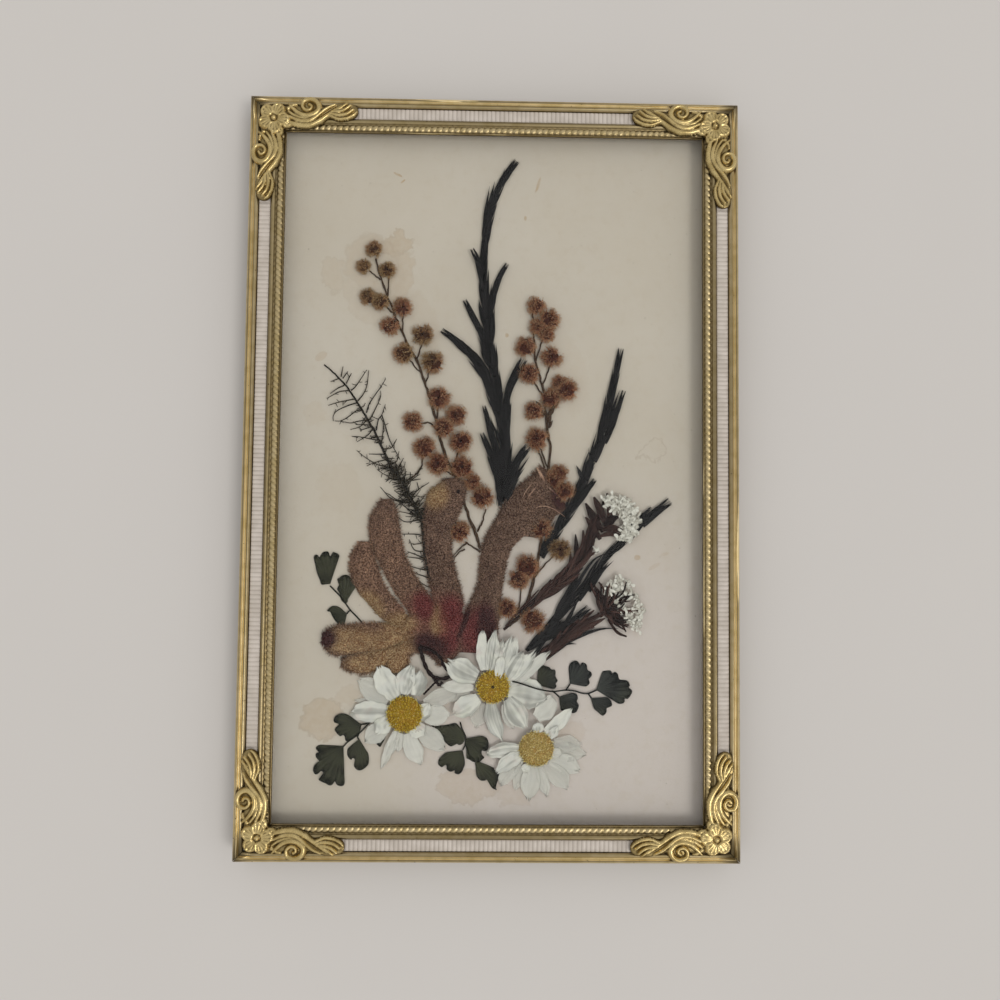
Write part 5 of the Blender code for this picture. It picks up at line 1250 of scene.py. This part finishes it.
# --- ferns ------------------------------------------------------------------------------------
# A spray: its stalks, and leaflets as outlines that start at the stalk.
SPRAYS = {
    "fern_upper_left": ([
        [(-46, -32.5), (-44.5, -34), (-43, -35.5), (-41.5, -37.5), (-40, -39.5), (-38, -41.5), (-36, -43.7)],
        [(-40, -39.5), (-40.7, -39.9), (-41, -40.5)],
    ], [
        [(-46, -32), (-45.8, -30.5), (-45.3, -28), (-44.2, -25.5), (-43.5, -24), (-44, -23.3), (-44.8, -23),
         (-45.3, -22.8), (-45.8, -23.5), (-46.1, -24.1), (-46.4, -23.6), (-46.7, -22.8), (-47.5, -22.7),
         (-48.4, -23), (-49, -23.8), (-49.3, -24.4), (-49.6, -23.9), (-50.2, -23.6), (-50.8, -24.1),
         (-50.8, -25), (-50.2, -27.3), (-49.6, -29.3), (-49, -30.8), (-48.5, -32.2), (-47.3, -32)],
        [(-41.6, -37.6), (-42.6, -36.8), (-43.1, -35.5), (-42.9, -34.2), (-43.5, -33.8), (-44, -33.5),
         (-43.7, -32.7), (-43.4, -32.1), (-43.8, -31.2), (-44, -30.6), (-43.4, -30.2), (-42.8, -29.7),
         (-41.6, -29.3), (-40.5, -29.7), (-40.2, -30.3), (-39.3, -30.3), (-39.6, -30.9), (-38.8, -31),
         (-39.6, -31.5), (-38, -31.7), (-39.1, -32.1), (-40.3, -32.2), (-40.5, -33), (-40.7, -33.8),
         (-41.1, -35), (-41.1, -36.2), (-40.8, -36.8), (-41.4, -37.6)],
        [(-41, -40.5), (-42, -39.6), (-42.9, -38.8), (-44, -38.3), (-45.2, -38.3), (-45.8, -38.6),
         (-46.6, -39.4), (-46.6, -39.8), (-45.8, -40), (-45.2, -41.2), (-44.3, -42.6), (-43.7, -43.2),
         (-44, -44.4), (-42, -44.4), (-41.6, -43), (-41.4, -41.8)],
    ]),
    "fern_lower_left": ([
        [(-33, -70), (-34.7, -72), (-36.8, -74.2), (-38.5, -75.6), (-40.2, -76.8), (-41.3, -78)],
        [(-36.4, -71.8), (-34.7, -71.5), (-32.7, -70.6)], [(-37, -74.4), (-37.4, -75.4), (-37, -76)],
    ], [
        [(-41.3, -77.9), (-42.4, -78.2), (-43.6, -78.5), (-45, -78.2), (-46.4, -78.2), (-47.2, -77.9),
         (-47.8, -77.6), (-48.7, -77.9), (-49.2, -78.5), (-48.9, -79.1), (-48.4, -79.6), (-48, -79.9),
         (-48.9, -79.9), (-49.2, -80.5), (-48.9, -81.3), (-48.3, -81.9), (-48, -82.2), (-48.6, -82.5),
         (-49.4, -83.3), (-49.8, -84.5), (-49.4, -85.6), (-48.8, -85.9), (-48.2, -85.6), (-48, -85),
         (-47.4, -84.9), (-46.8, -85.3), (-46.8, -86.2), (-47.7, -86.7), (-48.2, -87.3), (-47.4, -87.9),
         (-46.2, -88.4), (-45.1, -89), (-44.2, -88.7), (-43.7, -87.9), (-43.4, -87.9), (-43.1, -88.7),
         (-42, -89.2), (-41.1, -89), (-40.8, -87.9), (-41.1, -86.4), (-41.7, -84.7), (-41.7, -81.9),
         (-41.8, -80.2), (-41.7, -79)],
        [(-36.3, -71.9), (-37.1, -71.3), (-38.3, -70.5), (-39.7, -69.4), (-41.1, -68.8), (-42.3, -68.8),
         (-43.7, -69.4), (-44.2, -70.5), (-44, -71.3), (-43.1, -71.6), (-42.8, -71.9), (-43.4, -72.5),
         (-43.9, -73.3), (-43.4, -74.2), (-42.6, -75), (-42.2, -75.2), (-41.6, -74.8), (-41.1, -75.2),
         (-40.8, -76.4), (-40.3, -76.6), (-39.1, -76.1), (-38, -75.3), (-37.1, -74.4), (-36.6, -73.3)],
        [(-36.9, -75.8), (-37.7, -76.6), (-39.1, -77.8), (-40.1, -78.6), (-40.3, -79.8), (-40, -80.9),
         (-39.1, -81.8), (-38.6, -81.2), (-38, -81.8), (-38, -82.6), (-38.3, -83.4), (-37.7, -84.3),
         (-36.6, -84.7), (-35.5, -84.3), (-34.3, -83.2), (-34, -81.8), (-34.3, -80), (-35.2, -78.6),
         (-36, -77.5), (-36.6, -76.6)],
        [(-29.2, -74.7), (-30.6, -75.2), (-31.7, -75.8), (-32.3, -75.8), (-33.1, -76.4), (-32.3, -77),
         (-31.7, -77.5), (-30.9, -78.1), (-30.3, -77.2), (-29.7, -76.1)],
    ]),
    "fern_middle": ([
        [(-8.2, -71), (-7.6, -73), (-6.8, -74.6), (-6.5, -76), (-6.8, -77.6), (-7.4, -78.8)],
        [(-6.5, -77.4), (-5.5, -80), (-3.8, -81.9)], [(-17, -71), (-16.3, -71.8), (-15.6, -72.6)],
    ], [
        [(-6.8, -76), (-7, -74.8), (-7.6, -73.4), (-8.2, -72.5), (-9.3, -71.4), (-10.5, -71.4),
         (-11.6, -71.7), (-13.9, -72), (-15.3, -72.1), (-15.3, -72.8), (-14.8, -73.7), (-13.9, -74.5),
         (-13.4, -74.2), (-13.1, -75.1), (-12.8, -76.2), (-11.9, -77.1), (-11.3, -77.6), (-10.5, -77.8),
         (-9.9, -77.1), (-9.5, -76.5), (-9, -77.1), (-8.5, -77.4), (-7.6, -77.1), (-7.1, -76.5)],
        [(-7.4, -78.9), (-8.8, -79.2), (-10.5, -79.3), (-12.2, -79.6), (-13.3, -80.5), (-14.2, -81.6),
         (-14.3, -82.8), (-13.6, -83.6), (-13, -83.6), (-12.5, -83), (-11.9, -83.3), (-11.9, -84.2),
         (-11, -84.9), (-10.2, -84.8), (-9.6, -84.5), (-9.6, -85.3), (-8.5, -85.6), (-7.6, -85),
         (-7.1, -83.9), (-6.7, -82.8), (-6.9, -81), (-7.2, -79.9)],
        [(-6.5, -75.6), (-5.4, -75.3), (-4, -75.1), (-2.6, -74.8), (-1.2, -75), (-0.4, -75.6),
         (0, -76.8), (0, -77.9), (-0.4, -78.8), (-1.2, -79.1), (-1.8, -78.9), (-2, -79.4), (-1.8, -80.2),
         (-1.2, -80.8), (-1.8, -81.4), (-2.3, -81.9), (-2.9, -82.2), (-4.3, -82.2), (-5.7, -81.4),
         (-6.3, -81.1), (-6.3, -79.4), (-6.6, -77.6)],
        [(-3.8, -81.6), (-2.6, -82.2), (-1.2, -82.8), (0.2, -83.3), (1.6, -83.9), (1.3, -84.8),
         (1.9, -85.4), (2.8, -85.4), (3.5, -85.4), (3.1, -86.5), (2.5, -88), (2.2, -89.4), (2.5, -90),
         (1.6, -89.7), (0.8, -89.1), (0.2, -88), (-0.4, -87.1), (-0.9, -87.4), (-2, -87.4), (-2.9, -86.8),
         (-3.5, -85.4), (-3.5, -83.9), (-3.8, -82.8)],
    ]),
    "fern_right": ([
        [(6.5, -59), (9, -59.6), (12.3, -60.7), (14.9, -61.4), (18, -61.9), (19.8, -61.8), (22, -61.6),
         (24.6, -61.9), (26.6, -62.5), (28.3, -62.6), (29.4, -62.2), (30.8, -61.6)],
        [(18, -61.9), (19.2, -62.8), (20, -63.6)], [(28.3, -62.6), (28.9, -63.3), (29.3, -63.9)],
        [(11.7, -60.5), (12.9, -59.9), (13.6, -59.6)], [(22, -61.6), (22.6, -60.8), (23.1, -59.9)],
        [(7.3, -59.3), (8.8, -58.8)],
    ], [
        [(13.6, -59.6), (13.9, -58.2), (13.9, -56.4), (14.2, -55.3), (14.8, -54.9), (15.6, -54.7),
         (16.4, -55), (17.3, -55.3), (17.8, -55.9), (18.7, -55.9), (19, -56.7), (19, -57.9), (19.6, -59),
         (19, -59.9), (19.3, -60.5), (18.7, -61.3), (17.6, -61.3), (16.5, -61), (15, -60.5), (13.9, -59.9)],
        [(23.1, -59.9), (23.2, -58.5), (22.8, -56.7), (22.8, -55), (23.4, -53.9), (24.8, -53.3),
         (25.7, -53.9), (26, -54.7), (26.5, -53.9), (27.1, -53.9), (27.9, -54.4), (28.2, -55.9),
         (29.1, -56.4), (29.4, -57.3), (28.8, -58.2), (28.5, -58.5), (28.8, -59.6), (28, -60.5),
         (27.1, -60.6), (26, -60.2), (24.8, -59.9), (24, -59.9)],
        [(30.6, -61.6), (31.4, -60.5), (31.7, -59), (32, -57.6), (32.5, -56.4), (33.4, -56.1),
         (34.9, -56.1), (35.4, -57), (36, -56.4), (36.9, -57), (37.4, -58.5), (38.6, -58.7),
         (39.8, -59), (40.4, -60.2), (40.1, -60.8), (41, -61.7), (40.7, -62.8), (39.8, -64), (38.9, -64),
         (38.9, -64.8), (38.3, -65.4), (36.9, -65.4), (35.7, -64.3), (34.6, -62.8), (33.4, -62.2),
         (32, -61.9)],
        [(20, -63.6), (21.1, -63.4), (22.3, -62.8), (23.7, -62.5), (25.1, -62.8), (25.4, -64),
         (25.1, -64.8), (25.7, -65.9), (25.4, -67.1), (24.9, -67.9), (24, -68.2), (23.4, -67.9),
         (23.2, -68.8), (22, -67.6), (20.6, -67.4), (20.3, -65.6)],
        [(29.1, -63.9), (30.6, -64.2), (32.3, -63.9), (33.7, -63.6), (34.9, -64.5), (35.2, -65.9),
         (34.3, -66.5), (33.7, -66.8), (33.7, -67.9), (32.9, -68.8), (32.3, -68.8), (31.2, -67.9),
         (30, -66.8), (29.7, -65.1)],
    ]),
}


def build_ferns(material):
    for number, (name, (stalks, leaflets)) in enumerate(SPRAYS.items()):
        rng = np.random.default_rng(600 + number)
        made = Build()
        for points in stalks:
            count = max(5, int(2 * np.linalg.norm(np.diff(points, axis=0), axis=1).sum()))
            heights = (6.75, 6.65, 6.2, 5.2, 4.7, 4.6) if name == "fern_right" and len(points) > 8 else (4.55, 4.5)
            path = raised(curve(points, count), heights)
            made.tube(path, 0.24, 0.16, 6, 0.25)
        for outline in leaflets:
            edge = curve([*outline, outline[0]], 96)
            share = np.concatenate([np.linspace(0, 0.9, 10), [0.955, 1.0]])[:, None, None]
            middle = np.array(outline[0]) * 0.995 + 0.005 * edge.mean(0)
            flat = middle + (edge - middle) * share
            run = share[..., 0]
            vein = 0.035 * np.cos(np.linspace(0, 34 * np.pi, 96))[None] * np.clip(run * 2, 0, 1)
            bend = 0.16 * smooth_noise(rng, flat[..., 0] * 0.3, flat[..., 1] * 0.3)
            curl = 0.12 * run ** 4 * (1 + smooth_noise(rng, flat[..., 0], flat[..., 1]))
            height = 4.5 + vein + bend + curl - 0.08 * (run > 0.97)
            rim = np.interp(run, [0, 0.8, 1.0], [0.6, 0.55, 0.15])
            shade = rim + 5.0 * vein / 1.5 + 0.12 * smooth_noise(rng, flat[..., 0] * 0.6, flat[..., 1] * 0.6)
            made.slab(np.concatenate([flat, height[..., None]], -1), 0.1, shade)
        made.piece(f"{name}_fronds", material, [name], weld=True)


# --- white sprigs -----------------------------------------------------------------------------
# A strap or leaf: (points from the tip, width, height, tone).
STRAPS = {
    "white_sprig_upper": [
        ([(33, -6), (31.5, -11), (29.6, -16.5), (26, -23.5), (22, -29), (16.5, -34), (7.5, -41.5), (4, -44.6)], 1.0, 4.7, 0.3),
        ([(31.4, -12), (28.4, -19), (25.4, -25), (20.5, -31)], 2.4, 4.8, 0.35), ([(33.4, -5), (34.4, -9), (34.4, -14.6)], 2.6, 5.5, 0.5),
        ([(29.6, -6.2), (31.6, -10.4), (33.6, -15)], 2.7, 5.6, 0.4), ([(27.2, -8), (29.6, -12.2), (32.4, -16.2)], 2.5, 5.4, 0.3),
        ([(27.2, -12), (29.2, -14.6), (31.6, -18.4)], 2.3, 5.3, 0.45), ([(38, -15.8), (35, -15.2), (32, -15.6)], 2.6, 5.7, 0.4),
        ([(36.6, -12), (34.8, -12.6), (32.6, -14.6)], 3.0, 5.7, 0.1), ([(38.6, -17.8), (35, -16.8), (31.5, -17.4)], 1.8, 5.5, 0.55),
        ([(31.2, -21.8), (27.5, -23.6), (23.6, -27.6)], 1.5, 5.2, 0.6), ([(24.4, -17), (24.6, -21), (24, -26)], 1.5, 5.2, 0.2),
        ([(26.6, -15.8), (26.6, -20), (24.6, -26)], 1.8, 5.3, 0.5), ([(28.6, -16.4), (28, -20.6), (25, -27.4)], 1.9, 5.2, 0.35),
        ([(30, -18.6), (28, -23), (23.6, -29)], 1.8, 5.1, 0.6), ([(23, -22), (22.8, -26), (20.6, -30.5)], 1.5, 5.1, 0.4),
        ([(25, -24), (22.6, -28.4), (18.6, -32.4)], 1.9, 5.2, 0.55), ([(26.6, -26.6), (22.4, -30.2), (17, -34.2)], 1.6, 5.1, 0.3),
        ([(21.5, -26.4), (18.4, -31), (13.4, -36)], 1.6, 5.2, 0.5), ([(20.6, -31), (14.6, -36), (8.6, -41)], 1.2, 5.0, 0.65),
        ([(17.4, -30), (13.4, -35.2), (7.6, -40.2)], 1.2, 5.0, 0.35), ([(14, -33), (9, -38.4), (4.4, -43.6)], 0.9, 4.9, 0.55),
    ],
    "white_sprig_lower": [
        ([(34, -38.4), (27.5, -42.5), (23, -45.5), (19.5, -49), (14.5, -52.7), (10.5, -56.1), (6.5, -59.5)], 1.5, 5.6, 0.5),
        ([(31, -39.8), (26, -43), (21.5, -47), (15, -52)], 1.9, 5.3, 0.35), ([(33, -41), (28.4, -43.4), (24.4, -46)], 1.8, 5.4, 0.6),
        ([(27, -41), (24.6, -43.4), (21, -47.4)], 1.5, 5.4, 0.4), ([(30, -43.6), (25.6, -45), (21, -48.6)], 1.4, 5.3, 0.7),
    ],
}
# The floret pieces and the sprigs they belong to.
HEADS = {"white_florets_upper": "white_sprig_upper", "white_florets_lower": "white_sprig_lower"}
ARC = [(32.5, -7), (35, -6.6), (38, -7.5), (40.3, -9.7), (41.3, -12.4), (41, -15.3), (39.2, -17.8)]
INNER = [(33.6, -8.6), (36, -9.2), (38.2, -10.8), (39.2, -13.2), (38.8, -15.8), (37.4, -17.6)]
TUFTS = [(34.6, -31.8), (36, -30.6), (37.6, -30.4), (39, -31.2), (40.6, -33), (42, -35.5), (42.6, -38), (42.2, -41),
         (41.4, -43), (35.2, -33.6), (33.6, -33.8), (38.2, -32.4)]
LEAF = [0.25, 0.7, 1.0, 0.95, 0.75, 0.55]


def build_white(brown, white):
    for number, (name, straps) in enumerate(STRAPS.items()):
        rng = np.random.default_rng(700 + number)
        made = Build()
        for points, width, height, tone in straps:
            strip(made, raised(curve(points, 9), (height + 0.2, height)), 0.85 * width,
                  LEAF if len(points) < 6 else [0.8, 1.0, 1.0, 0.8], rng, 9 + 3 * len(points), 9,
                  arch=0.22, ridge=0.06, thickness=0.1, tone=tone, crumple=0.05)
        stem = curve(straps[0][0], 40)
        away = side_of(stem)[:, :2]
        for spot in rng.integers(4, 24, 34):
            hand = rng.choice((-1, 1))
            end = stem[spot] + hand * away[spot] * rng.uniform(0.9, 2.1) + rng.normal(0, 0.3, 2)
            root = stem[min(39, spot + rng.integers(5, 9))]
            height = rng.uniform(5.1, 5.5)
            middle = 0.5 * (end + root) + hand * away[spot] * rng.uniform(0.0, 0.7)
            strip(made, raised(curve([end, middle, root], 7), (height + 0.2, height)), rng.uniform(0.7, 1.3), LEAF,
                  rng, 9, 7, arch=0.2, ridge=0.05, thickness=0.1, tone=rng.uniform(0.1, 0.8))
        if name == "white_sprig_lower":
            for _ in range(70):
                turn = math.radians(rng.uniform(-50, 118))
                reach = rng.uniform(3.6, 8.2)
                aim = np.array([math.cos(turn), math.sin(turn)])
                bend = np.array([-aim[1], aim[0]]) * rng.uniform(-1.1, 1.1)
                start = np.array([32.6, -39.2]) + rng.uniform(-1.4, 2.6) * aim + rng.normal(0, 0.7, 2)
                height = rng.uniform(5.2, 6.4)
                path = raised(curve([start + reach * aim, start + 0.6 * reach * aim + bend, start], 7),
                              (height, height + 0.2, 5.3))
                strip(made, path, rng.uniform(0.45, 0.95), [0.5, 1, 0.9, 0.7], rng, 9, 5, arch=0.18,
                      ridge=0.03, thickness=0.1, tone=rng.uniform(0.1, 0.9))
        made.piece(name.replace("sprig", "bracts"), brown, [name])
    rng = np.random.default_rng(720)
    for name, spots in (("white_florets_upper", np.concatenate([curve(ARC, 28), curve(INNER, 15)])),
                        ("white_florets_lower", curve(TUFTS, 26))):
        made = Build()
        for x, y in spots:
            for _ in range(7):
                turn = rng.uniform(0, 2 * np.pi)
                start = np.array([x, y]) + rng.normal(0, 0.55, 2)
                aim = np.array([math.cos(turn), math.sin(turn)]) * rng.uniform(0.8, 1.7)
                height = rng.uniform(5.5, 6.5)
                path = raised(curve([start, start + 0.6 * aim, start + aim + rng.normal(0, 0.3, 2)], 6),
                              (height - 0.2, height + 0.15, height - 0.1))
                strip(made, path, rng.uniform(0.6, 1.15), [0.5, 0.8, 1, 0.6], rng, 7, 5, arch=-0.1,
                      ridge=0.03, thickness=0.06, tone=rng.uniform(0.2, 0.9))
        if name == "white_florets_upper":
            for _ in range(7):
                start = np.array([30.6, -21.6]) + rng.normal(0, 0.25, 2)
                path = raised([start, start + rng.normal(0, 0.5, 2), start + rng.normal(0, 0.7, 2)], (5.3, 5.6, 5.4))
                strip(made, path, 0.4, [0.6, 1, 0.6], rng, 6, 5, thickness=0.06, tone=0.7)
        made.piece(name.replace("white", "curled"), white, [name])


# --- stage ----------------------------------------------------------------------------------
def build_stage():
    half = 3.0
    mesh = bpy.data.meshes.new("floor")
    mesh.from_pydata([(-half, -half, 0), (half, -half, 0), (half, half, 0), (-half, half, 0)], [],
                     [(0, 1, 2, 3)])
    floor = bpy.data.objects.new("floor", mesh)
    look = Look("floor_look", Roughness=0.9)
    soft = look.noise(0.02, 3.0)
    look.set(Base_Color=look.mix(soft, (0.625, 0.598, 0.57, 1.0), (0.64, 0.612, 0.584, 1.0)))
    mesh.materials.append(look.material)
    bpy.context.scene.collection.objects.link(floor)


def build_light():
    world = bpy.data.worlds.new("studio")
    bpy.context.scene.world = world
    world.use_nodes = True
    nodes, links = world.node_tree.nodes, world.node_tree.links
    background = nodes["Background"]
    background.inputs["Strength"].default_value = 0.7
    where = nodes.new("ShaderNodeTexCoord")
    lean = nodes.new("ShaderNodeVectorMath")
    lean.operation = "DOT_PRODUCT"
    lean.inputs[1].default_value = (0.45, -0.3, 0.1)
    links.new(where.outputs["Generated"], lean.inputs[0])
    shade = nodes.new("ShaderNodeMapRange")
    shade.inputs["From Min"].default_value = -0.5
    shade.inputs["From Max"].default_value = 0.5
    shade.inputs["To Min"].default_value = 0.9
    shade.inputs["To Max"].default_value = 1.1
    links.new(lean.outputs["Value"], shade.inputs["Value"])
    tint = nodes.new("ShaderNodeVectorMath")
    tint.operation = "MULTIPLY"
    tint.inputs[1].default_value = (1.0, 0.99, 0.975)
    links.new(shade.outputs[0], tint.inputs[0])
    links.new(tint.outputs[0], background.inputs["Color"])
    data = bpy.data.lights.new("key", "SUN")
    data.energy = 0.74
    data.angle = math.radians(21)
    data.color = (1.0, 0.98, 0.95)
    key = bpy.data.objects.new("key", data)
    key.rotation_mode = "QUATERNION"
    key.rotation_quaternion = Vector((0.86, -0.58, 1.65)).to_track_quat("Z", "Y")
    bpy.context.scene.collection.objects.link(key)
    bpy.context.scene.view_settings.view_transform = "Standard"


def build_camera():
    data = bpy.data.cameras.new("camera")
    data.lens = 32.62
    data.sensor_width = 36.0
    data.clip_start = 0.01
    camera = bpy.data.objects.new("camera", data)
    turn = (Matrix.Rotation(math.radians(-0.642), 3, "Z") @ Matrix.Rotation(math.radians(1.091), 3, "Y")
            @ Matrix.Rotation(math.radians(-2.983), 3, "X"))
    camera.matrix_world = (Matrix.Translation((-0.00248, -0.02096, 0.26644))
                           @ turn.transposed().to_4x4())
    bpy.context.scene.collection.objects.link(camera)
    bpy.context.scene.camera = camera


build_stage()
build_light()
build_camera()
GOLD = brass("moulding_look", linear(244, 223, 174), linear(226, 204, 150), 0.38)
build_rails(GOLD)
build_corners(brass("ornament_look", linear(206, 184, 130), linear(178, 156, 104), 0.3))
build_strips(ribbed())
dress(card(), "mount_card")
dress(glass(), "glass_pane")
dress(board(), "backing_board")
build_ferns(leaf_look("fern_look", linear(20, 20, 13), linear(70, 70, 54), 0.6, (29, -59, 17, 14)).material)
build_feather(leaf_look("feather_look", linear(20, 17, 12), linear(62, 54, 42), 0.6).material)
build_wattle(wattle_look())
build_shoots(leaf_look("needle_look", linear(6, 5, 6), linear(34, 32, 33), 0.5).material)
build_white(leaf_look("bract_look", linear(24, 11, 10), linear(80, 56, 50), 0.6).material,
            leaf_look("floret_look", linear(190, 184, 172), linear(240, 236, 226), 0.6).material)
build_paw(paw_look())
build_daisies(petal_look(), disc_look())
dress(steel(), "tab_top", "tab_bottom", "tab_left_upper", "tab_left_lower", "tab_right_upper",
      "tab_right_lower", "sawtooth_hanger", "hanger_rivet_left", "hanger_rivet_right")
